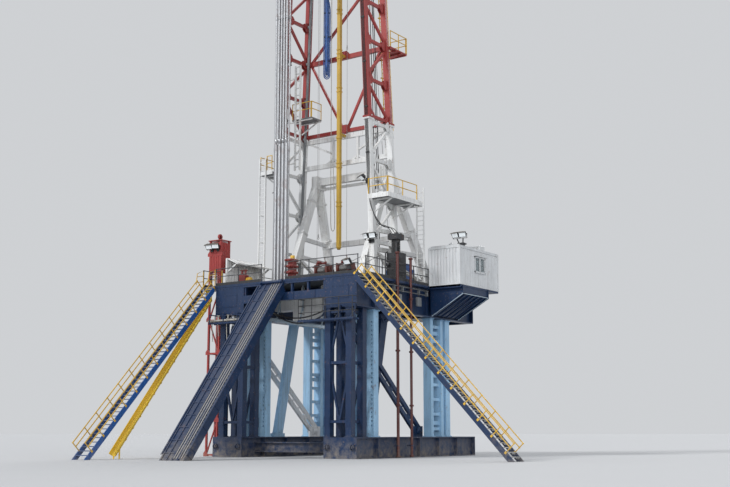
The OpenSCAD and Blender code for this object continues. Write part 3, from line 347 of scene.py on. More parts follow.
def paint(name, colour, rust=0.5, dust=0.35, chips=0.5, rough=0.42, zones=(), pattern=None):
    """Weathered paint on steel: tone, rain streaks, rust, chips down to the primer, and dust."""
    g = Graph(name, colour)
    broad = g.noise(0.7, 4)
    patch = g.noise(5.0, 9, 0.68)
    fine = g.noise(38.0, 6, 0.65)
    streak = g.noise(1.5, 6, 0.7, g.stretch(9, 9, 0.45))
    base = colour
    for zone, other in zones:
        base = g.mix(zone(g), base, other)
    dark = g.mix(1.0, base, (0.80, 0.80, 0.815), "MULTIPLY")
    tone = g.mix(g.span(broad, 0.36, 0.66), dark, base)
    tone = g.mix(g.span(fine, 0.35, 0.75, 0.0, 0.22), tone, shade(colour, 1.35), "SOFT_LIGHT")
    grime = g.times(g.span(streak, 0.50, 0.72), min(0.55, 1.2 * rust))
    tone = g.mix(grime, tone, g.mix(1.0, base, (0.42, 0.38, 0.34), "MULTIPLY"))
    rusty = g.times(g.times(g.span(patch, 0.60, 0.68), g.span(streak, 0.38, 0.58)), rust)
    tone = g.mix(rusty, tone, g.mix(g.span(fine, 0.4, 0.62), RUST_DARK, RUST_LIGHT))
    chip = g.times(g.span(g.noise(22.0, 3, 0.5), 0.655, 0.675), g.span(broad, 0.42, 0.55))
    chip = g.times(chip, chips)
    tone = g.mix(chip, tone, g.mix(g.span(fine, 0.45, 0.6), (0.20, 0.19, 0.18), RUST_LIGHT))
    top = g.times(g.span(g.facing_up(), 0.55, 0.95), g.span(patch, 0.30, 0.62))
    low = g.times(g.span(g.along("Z"), 0.7, 0.0), g.span(patch, 0.38, 0.62))
    dirt = g.most(g.times(top, dust), g.times(low, dust * 1.2))
    tone = g.mix(dirt, tone, g.mix(fine, shade(MUD, 0.8), shade(MUD, 1.3)))
    gloss = g.span(patch, 0.3, 0.7, rough - 0.1, rough + 0.1)
    g.set(Base_Color=tone, Roughness=g.plus(gloss, g.times(g.most(rusty, dirt), 0.4)))
    relief = g.plus(g.times(fine, 0.4), g.times(chip, -0.8))
    relief = g.plus(relief, g.times(rusty, g.span(fine, 0.3, 0.7, -0.4, 1.2)))
    normal = g.bump(relief, 0.35, 0.0025)
    if pattern:
        normal = g.bump(pattern(g), 0.9, 0.004, normal)
    g.set(Normal=normal)
    return g.material


def above(limit):
    """The zone of a paint higher than the limit."""
    return lambda g: g.math("GREATER_THAN", g.along("Z"), limit)


def right_side(g):
    return g.math("GREATER_THAN", g.along("X"), WELL.x)


def left_strut(g):
    """The slanted strut on the left side, which stands nearer the middle than the brace."""
    inner = g.math("GREATER_THAN", g.along("X"), WELL.x - 1.88)
    return g.times(inner, g.math("LESS_THAN", g.along("X"), WELL.x))


def over_stringer(axis, start):
    """The handrails of a flight that leaves the floor at start along the signed axis X or -Y."""
    def zone(g):
        ends = (g.along("X"), start) if axis == "X" else (start, g.along("Y"))
        fall = g.times(g.math("SUBTRACT", *ends), STAIR_SLOPE)
        return g.math("GREATER_THAN", g.plus(g.along("Z"), fall), FLOOR + 0.045)
    return zone


def chequer(g):
    """Raised lozenges of a tread plate on faces that look up."""
    def stripe(how, s, pitch, shift):
        line = g.times(g.math(how, g.along("X"), g.times(g.along("Y"), s)), pitch)
        line = g.math("FRACT", g.plus(line, shift))
        return g.math("ABSOLUTE", g.math("SUBTRACT", line, 0.5))

    marks = []
    for s, shift in ((1, 0.5), (-1, 0.0)):
        a, b = stripe("ADD", s, 22, shift), stripe("SUBTRACT", s, 11, shift)
        marks.append(g.times(g.span(a, 0.17, 0.10), g.span(b, 0.36, 0.28)))
    return g.times(g.most(*marks), g.span(g.facing_up(), 0.7, 0.9))


def sheet_ribs(g):
    """Shallow pressed ribs across a sheet wall or roof."""
    wave = g.math("SINE", g.times(g.along("Y"), 2 * math.pi / 0.11))
    return g.span(wave, 0.2, 0.7)


def steel(name, colour, rough=0.4, rust=0.3, grain=(1, 1, 40)):
    """Bare worked steel with a drawn grain, stains and thin rust."""
    g = Graph(name, colour)
    drawn = g.noise(6.0, 4, 0.6, g.stretch(*grain))
    patch = g.noise(4.0, 9, 0.68)
    fine = g.noise(46.0, 5, 0.6)
    tone = g.mix(g.span(drawn, 0.3, 0.7), shade(colour, 0.65), shade(colour, 1.15))
    rusty = g.times(g.span(patch, 0.54, 0.68), rust)
    tone = g.mix(rusty, tone, g.mix(g.span(fine, 0.4, 0.6), RUST_DARK, RUST_LIGHT))
    g.set(Base_Color=tone, Metallic=g.span(rusty, 0.0, 0.8, 0.85, 0.1))
    g.set(Roughness=g.plus(g.span(drawn, 0.3, 0.7, rough - 0.08, rough + 0.12), g.times(rusty, 0.4)))
    g.set(Normal=g.bump(g.plus(drawn, g.times(fine, 0.6)), 0.25, 0.0015))
    return g.material


def rubber(name, colour, rough=0.55, wrap=0.0):
    """Rubber or cable sheath, with scuffs, dust and a wrapped cover where wrap is its pitch."""
    g = Graph(name, colour)
    patch = g.noise(7.0, 7, 0.65)
    fine = g.noise(120.0, 3, 0.6)
    tone = g.mix(g.span(patch, 0.35, 0.65), shade(colour, 0.7), shade(colour, 1.2))
    tone = g.mix(g.span(patch, 0.58, 0.74, 0.0, 0.5), tone, MUD)
    relief = fine
    if wrap:
        lay = g.math("SINE", g.times(g.along("Z"), 2 * math.pi / wrap))
        relief = g.plus(g.times(fine, 0.3), lay)
        tone = g.mix(g.span(lay, -1.0, -0.6, 0.35, 0.0), tone, (0.02, 0.02, 0.02))
    g.set(Base_Color=tone, Roughness=g.span(fine, 0.3, 0.7, rough - 0.1, rough + 0.15))
    g.set(Normal=g.bump(relief, 0.35, 0.0015))
    return g.material


def timber(name):
    g = Graph(name)
    grain = g.noise(3.0, 8, 0.7, g.stretch(2, 26, 26))
    tone = g.mix(g.span(grain, 0.32, 0.68), (0.07, 0.045, 0.03), (0.24, 0.16, 0.095))
    tone = g.mix(g.span(g.noise(2.2, 5), 0.42, 0.7, 0.0, 0.7), tone, (0.05, 0.045, 0.04))
    g.set(Base_Color=tone, Roughness=g.span(grain, 0.3, 0.7, 0.65, 0.9), Normal=g.bump(grain, 0.5, 0.003))
    return g.material


def glass(name):
    g = Graph(name)
    smear = g.noise(3.0, 6, 0.65)
    g.set(Base_Color=g.mix(smear, (0.55, 0.66, 0.70), (0.72, 0.80, 0.82)))
    g.set(Roughness=g.span(smear, 0.35, 0.7, 0.04, 0.22), Transmission_Weight=0.75, IOR=1.45)
    g.set(Normal=g.bump(smear, 0.05, 0.002))
    return g.material


def lens(name):
    """The pressed glass of a lit floodlight."""
    g = Graph(name)
    ribs = g.math("SINE", g.times(g.plus(g.along("X"), g.along("Y")), 420))
    cells = g.times(ribs, g.math("SINE", g.times(g.along("Z"), 420)))
    tone = g.mix(g.span(cells, -0.6, 0.8), (0.72, 0.78, 0.82), (0.86, 0.90, 0.92))
    g.set(Base_Color=tone, Roughness=0.12, Emission_Color=tone, Emission_Strength=0.36)
    g.set(Normal=g.bump(cells, 0.4, 0.002))
    return g.material


NAVY, BLUE, SKY = (0.008, 0.031, 0.092), (0.016, 0.105, 0.35), (0.36, 0.59, 0.82)
WHITE, RED, YELLOW = (0.80, 0.81, 0.80), (0.37, 0.050, 0.046), (0.74, 0.46, 0.05)
PLATFORM_RED = [(above(12.0), RED)]
LEFT_RAILS = [(over_stringer("-Y", WELL.y + LEFT_FLIGHT[1]), YELLOW)]
RIGHT_RAILS = [(over_stringer("X", WELL.x + RIGHT_FLIGHT[0]), YELLOW)]
navy = paint("navy_paint", NAVY, 0.45, 0.45)
sky = paint("sky_paint", SKY, 0.6, 0.4)
white = paint("white_paint", WHITE, 0.6, 0.25)
red = paint("red_paint", RED, 0.5, 0.3)
upper_paint = paint("mast_upper_paint", WHITE, 0.6, 0.3, zones=[(above(21.15), RED)])
yellow = paint("yellow_paint", YELLOW, 0.5, 0.35, 0.7, 0.38)
slide_paint = paint("slide_paint", (0.90, 0.60, 0.06), 0.05, 0.02, 0.05, 0.55)
rail_yellow = paint("guide_rail_paint", (0.60, 0.39, 0.06), 0.6, 0.5, 0.7, 0.45)
blue = paint("blue_paint", BLUE, 0.45, 0.4)
braces = paint("brace_paint", (0.78, 0.81, 0.83), 0.6, 0.4, zones=[(left_strut, SKY), (right_side, NAVY)])
rails = paint("rail_paint", (0.055, 0.058, 0.065), 0.6, 0.4, zones=[(above(7.0), YELLOW)])
ladder_paint = paint("ladder_paint", WHITE, 0.6, 0.4, zones=[(above(10.5), YELLOW)])
left_stair = paint("left_stair_paint", BLUE, 0.5, 0.4, zones=LEFT_RAILS)
right_stair = paint("right_stair_paint", NAVY, 0.5, 0.4, zones=RIGHT_RAILS)
grey = paint("grey_paint", (0.20, 0.215, 0.225), 0.6, 0.4, 0.6)
pale_blue = paint("pale_blue_paint", (0.42, 0.52, 0.60), 0.6, 0.35)
deck = paint("deck_paint", (0.085, 0.10, 0.115), 0.9, 0.9, 0.9, 0.5, pattern=chequer)
grating = paint("platform_paint", (0.19, 0.20, 0.21), 0.7, 0.5, 0.6, 0.5, PLATFORM_RED, chequer)
platform_white = paint("platform_frame_paint", WHITE, 0.6, 0.25, zones=PLATFORM_RED)
brown = paint("brown_paint", (0.135, 0.032, 0.024), 0.7, 0.4)
dark_red = paint("dark_red_paint", (0.21, 0.028, 0.026), 0.6, 0.4)
maroon = paint("maroon_paint", (0.105, 0.022, 0.018), 0.6, 0.35)
sheet = paint("sheet_paint", (0.68, 0.70, 0.71), 0.4, 0.3, 0.3, 0.4)
roof_sheet = paint("roof_paint", (0.66, 0.68, 0.69), 0.6, 0.6, 0.3, 0.4, pattern=sheet_ribs)
dark = paint("dark_paint", (0.028, 0.030, 0.034), 0.5, 0.5, 0.5, 0.45)
bare = steel("bare_steel", (0.42, 0.41, 0.40))
pipe_steel = steel("pipe_steel", (0.46, 0.47, 0.49), 0.36, 0.32, (30, 30, 1))
rope_steel = steel("rope_steel", (0.30, 0.30, 0.30), 0.4, 0.3, (60, 60, 9))
tread_steel = steel("tread_steel", (0.50, 0.50, 0.49), 0.38, 0.45, (1, 30, 1))
blue_treads = steel("blue_tread_steel", (0.15, 0.20, 0.34), 0.42, 0.45, (1, 30, 1))
hose_rubber = rubber("hose_rubber", (0.024, 0.10, 0.34), 0.42, 0.055)
black_rubber = rubber("black_rubber", (0.022, 0.022, 0.024))
pale_rubber = rubber("pale_rubber", (0.42, 0.40, 0.36))
planks = timber("setback_timber")
clear = glass("window_glass")
lamp_glass = lens("lamp_lens")

for material, names in (
    (navy, "base_skids base_cross_beams front_towers upper_boxes floor_beams front_beam pipe_ramp"),
    (navy, "doghouse_bracket"),
    (sky, "front_legs rear_legs"),
    (braces, "side_braces"),
    (white, "under_floor_boxes mast_left_lower mast_right_lower mast_back_lower wind_wall"),
    (white, "a_frames a_frame_beams"),
    (red, "mast_left_middle mast_right_middle mast_back_middle crown_block hoist_tower"),
    (upper_paint, "mast_left_upper mast_right_upper mast_back_upper"),
    (dark, "deck_machine"),
    (deck, "floor_plate"),
    (bare, "rotary_table crown_sheaves"),
    (blue, "drawworks"),
    (grey, "racking_board standpipe"),
    (rail_yellow, "guide_rail"),
    (yellow, "travelling_block"),
    (rope_steel, "drilling_lines"),
    (hose_rubber, "service_hose"),
    (grating, "access_platforms doghouse_floor"),
    (ladder_paint, "ladders"),
    (pipe_steel, "racked_pipes"),
    (blue_treads, "stair_left_treads"),
    (left_stair, "stair_left_frame"),
    (tread_steel, "stair_right_treads"),
    (right_stair, "stair_right_frame"),
    (slide_paint, "escape_slide"),
    (rails, "railings"),
    (sheet, "doghouse_walls"),
    (roof_sheet, "doghouse_roof"),
    (clear, "doghouse_window"),
    (brown, "winches"),
):
    for name in names.split():
        coats = nodes[name].data.materials
        for slot in range(len(coats)):
            coats[slot] = material
        if not coats:
            coats.append(material)

# The hanging service hose, on the source's own route: down, round the bend and up again
HOSE_R, HOSE_X, HOSE_Y, HOSE_DX, HOSE_DY = 0.036, -0.53, 0.25, -0.3329, 0.475
HOSE_TOP, BEND_Z, BEND_R = 16.95, 12.89, 0.29
HOSE = [(HOSE_X, HOSE_Y, HOSE_TOP + (BEND_Z - HOSE_TOP) * i / 10) for i in range(10)]
for step in range(9):
    bend = math.pi * step / 8
    share = (1 - math.cos(bend)) / 2
    HOSE.append((HOSE_X + HOSE_DX * share, HOSE_Y + HOSE_DY * share, BEND_Z - BEND_R * math.sin(bend)))
HOSE += [(HOSE_X + HOSE_DX, HOSE_Y + HOSE_DY, BEND_Z + 0.4 * i) for i in range(1, 7)]


def rounded(route, steps=6):
    """A smooth curve through the points of a route."""
    route = [Vector(p) for p in route]
    out = []
    for i in range(len(route) - 1):
        a, b = route[i], route[i + 1]
        l = (b - a).length
        ta = (b - route[max(i - 1, 0)]).normalized() * l
        tb = (route[min(i + 2, len(route) - 1)] - a).normalized() * l
        for k in range(steps):
            t = k / steps
            out.append(
                a * (2 * t**3 - 3 * t**2 + 1) + ta * (t**3 - 2 * t**2 + t)
                + b * (3 * t**2 - 2 * t**3) + tb * (t**3 - t**2)
            )
    return out + [route[-1]]


hose_line = rounded(HOSE, 5)
s = Shape()
s.tube(hose_line, HOSE_R, 14)
hose = s.build("service_hose_skin", hose_rubber, "hose_rubber")
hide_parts("service_hose")


# Gussets and splices of the mast, which has 17 bays and leans in as it rises
BAY = 1.325
MAST_H, MAST_FRONT = 17 * BAY, -0.3


def level(k):
    return FLOOR + BAY * k


def mast_x(z):
    """From the mast's middle to its side chords."""
    return 1.975 - 0.995 * (z - FLOOR) / MAST_H


def mast_y(z):
    """The place of the back chords."""
    return 0.95 - 0.25 * (z - FLOOR) / MAST_H


def chord(side, row, z):
    """A point on a chord: side -1 is the left one, row 0 the front one."""
    return vec(MAST_X + side * mast_x(z), mast_y(z) if row else MAST_FRONT, z)


def gusset(s, o, v, n, w=0.19, h=0.16, t=0.014):
    """A clipped plate from o, w along v and h up and down, with heads on its side n."""
    s.plate([(0, -h), (w * 0.55, -h), (w, -h * 0.5), (w, h * 0.5), (w * 0.55, h), (0, h)], o, v, Z, t)
    for a, b in ((0.22, -0.72), (0.22, 0), (0.22, 0.72), (0.72, -0.36), (0.72, 0.36)):
        s.nut(o + v * (w * a) + Z * (h * b) + n * (t / 2), n)


def collar(s, o, r=0.128, t=0.026):
    """A pair of bolted flanges round an upright square post."""
    for k in SIDES:
        s.cube(o + Z * (k * t * 0.55), r, r, t / 2)
    for a, b in product((-0.82, 0, 0.82), repeat=2):
        if a or b:
            s.nut(o + vec(a * r, b * r, t * 1.05), Z, 0.013, 0.018)


def mast_gussets(name, low, high, material, slot):
    s = Shape()
    for k in range(low, high + 1):
        z = level(k) + (0.096 if k == low else -0.096 if k == high else 0)
        for side, (row, inward), face in product(SIDES, ((0, Y), (1, -Y)), SIDES):
            c = chord(side, row, z) + inward * 0.09
            gusset(s, c + X * (face * 0.053), inward, X * face)
            c += X * (face * 0.091) - inward * 0.02
            s.bar(c - Z * 0.2, c + Z * 0.2, 0.006, 0.05, Y, 0.001)
    for (k, lift), side, row in product(((low, 0.03), (high, -0.03)), SIDES, (0, 1)):
        if k:
            collar(s, chord(side, row, level(k) + lift))
    s.build(name, material, slot)


mast_gussets("mast_gussets_lower", 0, 4, white, "white_steel")
mast_gussets("mast_gussets_middle", 4, 8, red, "red_steel")
mast_gussets("mast_gussets_upper", 8, 17, upper_paint, "white_steel")


def end_plates(s, heights):
    """End plates of the beams at the back of the mast."""
    for z, side in product(heights, SIDES):
        c = chord(side, 1, z) - vec(side * 0.13, 0.062, 0)
        s.cube(c, 0.055, 0.007, 0.12)
        s.nuts(c - vec(0, 0.007, 0.09), c + vec(0, -0.007, 0.09), 4, -Y)


# Pins at the mast's feet, and the pale box and the cable ladder on its left side
s = Shape()
end_plates(s, (9.69, 10.455))
for side, row in product(SIDES, (0, 1)):
    p = chord(side, row, FLOOR) + Z * 0.2
    s.drum(p - X * 0.15, X * 0.3, 0.05, 20)
    for a in SIDES:
        s.drum(p + X * (a * 0.125), X * (a * 0.017), 0.085, 20)
        for b in SIDES:
            s.bolt(p + vec(a * 0.165, b * 0.155, -0.15), Z, 0.02, 0.024)
s.box((-1.99, -0.42, 8.0), (-1.76, -0.392, 9.26), 0.006)
s.box((-1.96, -0.432, 8.06), (-1.79, -0.42, 9.2))
s.row(3, Z * 0.43, s.drum, (-1.80, -0.44, 8.17), Z * 0.06, 0.012, 10)
s.row(2, X * 0.2, s.box, (-1.486, -0.25, 9.25), (-1.454, -0.17, 12.83), 0.003)
s.row(15, Z * 0.245, s.box, (-1.47, -0.225, 9.35), (-1.27, -0.195, 9.38), 0.003)
for z in (9.5, 10.9, 12.4):
    s.bar((-1.46, -0.2, z), (MAST_X - mast_x(z) + 0.08, -0.26, z), 0.05)
s.build("mast_fittings", white, "white_steel")

s = Shape()
end_plates(s, (10.73, level(6), level(8) - 0.085))
for k, lift in ((4, 0.1), (6, 0)):
    c = vec(MAST_X, mast_y(level(k)) - 0.06, level(k) + lift)
    s.plate([(-0.2, -0.07), (0.2, -0.07), (0.2, 0.1), (0.1, 0.2), (-0.1, 0.2), (-0.2, 0.1)], c, X, Z, 0.014)
    s.nuts(c - vec(0.15, 0.007, 0), c + vec(0.15, -0.007, 0), 5, -Y)
s.build("mast_back_plates", red, "red_steel")

# Rings and joints on the guide rail
s = Shape(MAST_X, RAIL_Y, 0)
for z in (8.1, 9.4, 11.98, 13.3, 14.71, 16.0, 18.6, 21.2, 23.9, 26.4):
    for a in SIDES:
        s.cube((0, 0, z + a * 0.07), 0.078, 0.078, 0.018)
        s.cube((a * 0.066, 0, z), 0.006, 0.05, 0.13)
        s.nuts((a * 0.072, 0, z - 0.04), (a * 0.072, 0, z + 0.04), 2, X * a)
s.lathe((0, 0, 6.70), -Z, [(0, 0), (0.085, 0), (0.085, 0.03), (0.05, 0.11), (0, 0.11)])
s.build("guide_rail_joints", rail_yellow, "yellow_steel")

# Small wires inside the mast, up to the crown's underside
CROWN_LOW = CROWN_Z - 0.325
s = Shape()
for x, y, low in ((-0.62, -0.02, 7.05), (-0.78, 0.12, 6.25), (0.42, 0.1, 6.2), (0.55, -0.08, 13.2)):
    s.tube([(x, y, low), (x + 0.01, y, (low + CROWN_LOW) / 2), (x, y, CROWN_LOW)], 0.0055, 6)
    s.drum((x, y, low - 0.09), Z * 0.1, 0.018, 10)
    s.ring((x, y, low - 0.125), Y, 0.03, 0.007, 14, 6)
for x in (-0.42, -0.38):
    s.tube([(x, 0.3, 15.1), (x - 0.02, 0.31, 20), (x + 0.08, 0.2, 27.7)], 0.006, 6)
s.build("tugger_lines", rope_steel, "bare_steel")

# Hoses and pipes up the mast's right side. The three black hoses on the right front chord are partly real
# hoses and partly a dark strip of painted shade down the chord.
s = Shape()
# These three hoses lie on the chord's front face, so their black strip also stands in for the chord's
# shade: painted shade as well as hoses.
for i in range(3):
    shift = 0.045 * i
    route = [(MAST_X + mast_x(z) - 0.04 + shift, -0.415, z) for z in (18.1, 16.5, 14.7, 12.9, 11.1, 9.0)]
    x, y = 2.28 + 0.08 * i, -0.05 + 0.05 * i
    route += [(MAST_X + mast_x(8.2) + 0.02 + shift / 2, -0.44, 8.0 - 0.12 * i)]
    route += [(x - 0.30, -0.40, 7.1 - 0.05 * i), (x - 0.12, y - 0.12, 7.0 - 0.03 * i), (x, y, 6.77)]
    s.tube(rounded(route, 7), 0.011)
for z in (9.4, 10.9, 12.4, 13.9, 15.4, 16.9, 18.0):
    x = MAST_X + mast_x(z)
    s.box((x - 0.06, -0.432, z - 0.02), (x + 0.07, -0.395, z + 0.02), 0.003)
for x, y in ((1.02, 0.84), (1.10, 0.86), (1.18, 0.83)):
    s.tube(rounded([(x, y, 5.3), (x, y, 8.2), (x - 0.25, y - 0.05, 17), (x - 0.62, y - 0.12, 27.6)]), 0.014)
s.build("mast_hoses_and_chord_shade", black_rubber, "hose_rubber")

# The drive's cables, hung in a loop beside the hose, and a slack white rope
s, tie, rope = Shape(), Shape(), Shape()
loop_mid, aside, square = vec(-0.70, 0.49, 0), vec(0.819, 0.574, 0), vec(-0.574, 0.819, 0)
for w, r, low in ((0.060, 0.020, 12.50), (0.102, 0.018, 12.44)):
    left, right = loop_mid - aside * w, loop_mid + aside * w
    route = [vec(-0.52, 0.30, 16.9), left + Z * 16.0] + [left + Z * (15.4 - 0.5 * i) for i in range(5)]
    for i in range(9):
        turn = math.pi * i / 8
        route.append(loop_mid - aside * (w * math.cos(turn)) + Z * (low + w * 1.4 * (1 - math.sin(turn))))
    route += [right + Z * (13.4 + 0.5 * i) for i in range(4)] + [vec(-0.86, 0.70, 15.55)]
    s.tube(rounded(route, 4), r, 10)
for z in (13.05, 13.07, 13.9, 13.92, 14.75, 14.77):
    tie.block(loop_mid + Z * z, aside * 0.118, square * 0.034, Z * 0.006, 0.002)
s.build("drive_cables", hose_rubber, "hose_rubber")
tie.build("cable_ties", dark, "grey_steel")
rope.move(*(loop_mid + aside * 0.155))
rope.tube(rounded([
    (0, 0, 27.7), (0, 0, 20), (0, 0, 12), (0, 0, 7.6), (0.02, 0.01, 7.32), (0.06, 0.04, 7.25),
    (0.10, 0.07, 7.34), (0.10, 0.07, 8.0), (0.05, 0.04, 9.6),
]), 0.012)
rope.build("slack_rope", pale_rubber, "hose_rubber")


# Floodlights, each with its housing, lens, hood and yoke
def flood(s, o, aim, base):
    o, base = Vector(o), Vector(base)
    u, v, d = axes(Vector(aim) - o)
    s.block(o, u * 0.11, v * 0.08, d * 0.035, 0.012)
    s.block(o + d * 0.038, u * 0.12, v * 0.09, d * 0.008)
    s.row(7, u * 0.028, s.block, o - d * 0.052 - u * 0.084, u * 0.004, v * 0.065, d * 0.024, 0.002)
    s.block(o + d * 0.075 + v * 0.091, u * 0.12, v * 0.003, d * 0.04, 0.001)
    s.kind = 1
    s.block(o + d * 0.047, u * 0.102, v * 0.072, d * 0.004, 0.003)
    s.kind = 0
    for a in SIDES:
        s.block(o + u * (a * 0.13) - v * 0.06, u * 0.004, v * 0.08, d * 0.016)
        s.drum(o + u * (a * 0.112), u * (a * 0.038), 0.018, 12)
    foot = o - v * 0.135
    s.block(foot, u * 0.134, v * 0.004, d * 0.016)
    s.bar(foot, base, 0.034)
    s.cube(base, 0.05, 0.05, 0.05)


s = Shape()
for lamp, aim, base in (
    ((1.62, -0.52, 6.72), (0, -4, 5), (1.70, -0.39, 6.55)),
    ((1.86, -0.52, 6.72), (2, -5, 5), (1.76, -0.39, 6.55)),
    ((1.45, -0.50, 8.60), (0, -3, 5), (1.58, -0.38, 8.45)),
    ((-1.60, -0.52, 12.90), (0, -4, 5), (-1.80, -0.38, 12.78)),
    ((-1.68, -0.52, 10.92), (0, -4, 5), (-1.86, -0.38, 10.8)),
    ((-2.02, -0.42, 8.52), (-2, -5, 4), (-2.02, -0.38, 8.34)),
    ((-3.30, -2.26, 6.62), (-2, -9, 1), (-3.30, -2.09, 6.5)),
    ((-3.04, -2.26, 6.62), (0, -9, 1), (-3.04, -2.09, 6.5)),
    ((3.55, 1.62, 6.86), (3, -6, 2), (3.62, 1.74, 6.56)),
    ((3.80, 1.62, 6.86), (6, -6, 2), (3.74, 1.74, 6.56)),
    ((2.42, -2.62, 5.60), (2, -8, 1), (2.42, -2.53, 5.42)),
    ((-0.55, 3.70, 9.45), (0, 9, 2), (-0.55, 3.0, 9.2)),
    ((MAST_X, -1.62, 18.0), (0, -2, 5), (MAST_X, -1.47, 18.27)),
    ((-0.9, -1.62, 18.0), (-1, -2, 5), (-0.9, -1.47, 18.27)),
    ((1.3, -1.05, 28.5), (2, -9, 6), (1.3, -0.76, 28.15)),
    ((-1.7, -1.05, 28.5), (-2, -9, 6), (-1.7, -0.76, 28.15)),
):
    flood(s, lamp, aim, base)
s.bar((3.50, 1.74, 6.56), (3.86, 1.74, 6.56), 0.05)
s.bar((3.68, 1.74, 6.46), (3.68, 1.74, 6.56), 0.05)
s.box((-0.62, 2.9, 9.1), (-0.48, 3.1, 9.2))
s.bar((-0.55, 2.8, 8.7), (-0.55, 3.0, 9.2), 0.05)
s.build("floodlights", [dark, lamp_glass], "grey_steel")

# Pipe tongs hung over the floor on their lines
s = Shape()
for x, y, z, a, b in ((-0.62, -0.02, 6.06, 0.80, -0.60), (0.42, 0.10, 6.02, 0.55, -0.83)):
    s.move(x, y, z)
    out, across = vec(a, b, 0), vec(-b, a, 0)
    s.bar(Z * 0.1, Z * -0.06, 0.03)
    s.bar(out * -0.32, out * 0.30, 0.075, 0.05)
    s.bar(out * -0.62, out * -0.32, 0.045, 0.04)
    for a in SIDES:
        jaw = out * 0.44 + across * (a * 0.12)
        s.bar(out * 0.30 + across * (a * 0.02), jaw, 0.07, 0.05)
        s.bar(jaw, out * 0.60 + across * (a * 0.08), 0.07, 0.05)
        s.drum(jaw - Z * 0.05, Z * 0.1, 0.035, 14)
    s.drum(out * -0.05 - Z * 0.07, Z * 0.14, 0.05)
s.build("tongs", dark_red, "red_steel")

# A red pump set, the pipe spinner and a coiled hose on the floor
s = Shape()
s.box((-2.20, -2.16, FLOOR), (-1.72, -1.84, 5.31), 0.008)
s.box((-2.16, -2.12, 5.31), (-1.92, -1.88, 5.62), 0.02)
for x in (-2.11, -1.97):
    s.drum((x, -2.00, 5.62), Z * 0.12, 0.035)
    s.ring((x, -2.00, 5.76), Z, 0.065, 0.010, 20, 6)
s.box((-0.50, -1.92, FLOOR), (-0.16, -1.56, 5.33), 0.01)
s.box((-0.44, -1.80, 5.33), (-0.22, -1.62, 5.98), 0.012)
for z in (5.55, 5.74, 5.93):
    s.box((-0.48, -1.92, z), (-0.18, -1.58, z + 0.07), 0.012)
    s.row(2, X * 0.18, s.drum, (-0.42, -1.95, z + 0.035), Y * 0.05, 0.03, 14)
s.kind = 1
s.drum((-1.90, -2.0, 5.44), X * 0.16, 0.085, 22)
s.row(6, X * 0.022, s.ring, (-1.88, -2.0, 5.44), X, 0.088, 0.004, 22, 4)
s.drum((-0.33, -1.70, 5.98), Z * 0.14, 0.07, 20)
s.kind = 2
s.tube(rounded([(-2.04, -1.88, 5.5), (-2.04, -1.7, 5.56), (-2.2, -1.5, 5.3), (-2.4, -0.8, 5.28)], 5), 0.022)
s.tube(rounded([(-0.33, -1.62, 5.8), (-0.3, -1.45, 5.9), (-0.5, -1.3, 5.32), (-0.9, -0.9, 5.28)], 5), 0.016)
for i in range(5):
    s.ring((1.95, 3.35, FLOOR + 0.025 + 0.036 * i), Z, 0.24 - 0.012 * (i % 2), 0.019, 28, 6)
s.build("floor_gear", [dark_red, yellow, black_rubber], "red_steel")

# Cable trays, pipes and boxes along the girders and the back of the floor
TRAY_X, TRAY_W = 2.762, 0.09
s = Shape()
for face, y0, y1 in ((-1, -1.55, 3.95), (1, -2.20, 1.10)):
    s.move(face * TRAY_X, 0, 0)
    s.kind = 0
    s.row(2, Z * 0.13, s.box, (0, y0, 4.92), (face * TRAY_W, y1, 4.932), 0.002)
    n = int((y1 - y0) / 0.42)
    for i in range(n + 1):
        y = y0 + 0.04 + i * (y1 - y0 - 0.08) / n
        s.box((min(0, face * -0.012), y - 0.012, 4.90), (face * TRAY_W, y + 0.012, 5.07), 0.002)
    s.kind = 1
    run = (face * 0.018, y0 - 0.02, 4.942), Y * (y1 - y0 + 0.04)
    s.row(5, X * (face * 0.015), s.rod, *run, 0.0075, 6)
    s.rod((face * 0.045, y0 - 0.05, 5.085), Y * (y1 - y0 + 0.1), 0.021, 10)
    for y in (y0 + 0.5, y0 + 1.7, y1 - 0.5):
        s.kind = 0
        s.box((0, y - 0.11, 4.55), (face * 0.08, y + 0.11, 4.83), 0.008)
        s.box((face * 0.08, y - 0.095, 4.565), (face * 0.086, y + 0.095, 4.815), 0.003)
        s.kind = 1
        s.rod((face * 0.04, y, 4.83), Z * 0.1, 0.010)
for x in (-1.9, -0.9, 0.4, 1.6):
    s.move(x, 0, 0)
    s.kind = 0
    s.box((-0.14, 4.152, 4.55), (0.14, 4.23, 4.86), 0.008)
    s.box((-0.12, 4.23, 4.57), (0.12, 4.236, 4.84), 0.003)
    s.kind = 1
    s.row(3, X * 0.07, s.tube, rounded([(-0.07, 4.19, 4.86), (-0.07, 4.19, 5.12)], 2), 0.010)
s.move(0, 0, 0)
s.row(4, Y * 0.016, s.rod, (-2.42, 4.172, 5.131), X * 4.84, 0.0078, 6)
s.kind = 0
s.box((-2.4, 4.155, 5.11), (2.4, 4.24, 5.122), 0.002)
s.build("girder_services", [grey, black_rubber], "grey_steel")


# Handrail fittings: foot plates, toe boards and clamps, along the floor's edge
RAIL_R, POST_PITCH = 0.011, 0.95


def rail_fittings(s, low, high):
    """Foot plates and a toe board along a panel between two low corners."""
    low, high = vec(*low, FLOOR), vec(*high, FLOOR)
    along = (high - low).normalized()
    across = vec(-along.y, along.x, 0)
    l = (high - low).length
    bays = math.ceil((l - 2 * RAIL_R) / POST_PITCH)
    mid = low + across * RAIL_R
    for k in range(bays + 1):
        p = mid + along * (RAIL_R + (l - 2 * RAIL_R) * k / bays)
        s.block(p + Z * 0.006, along * 0.035, across * 0.03, Z * 0.006, 0.002)
        for a in SIDES:
            s.nut(p + along * (a * 0.024) + Z * 0.012, Z, 0.007, 0.008)
        for h in (0.286, 0.539):
            s.block(p + Z * h, along * 0.017, across * 0.015, Z * 0.015)
    s.block(mid + along * l / 2 + Z * 0.055, along * l / 2, across * 0.003, Z * 0.042, 0.002)


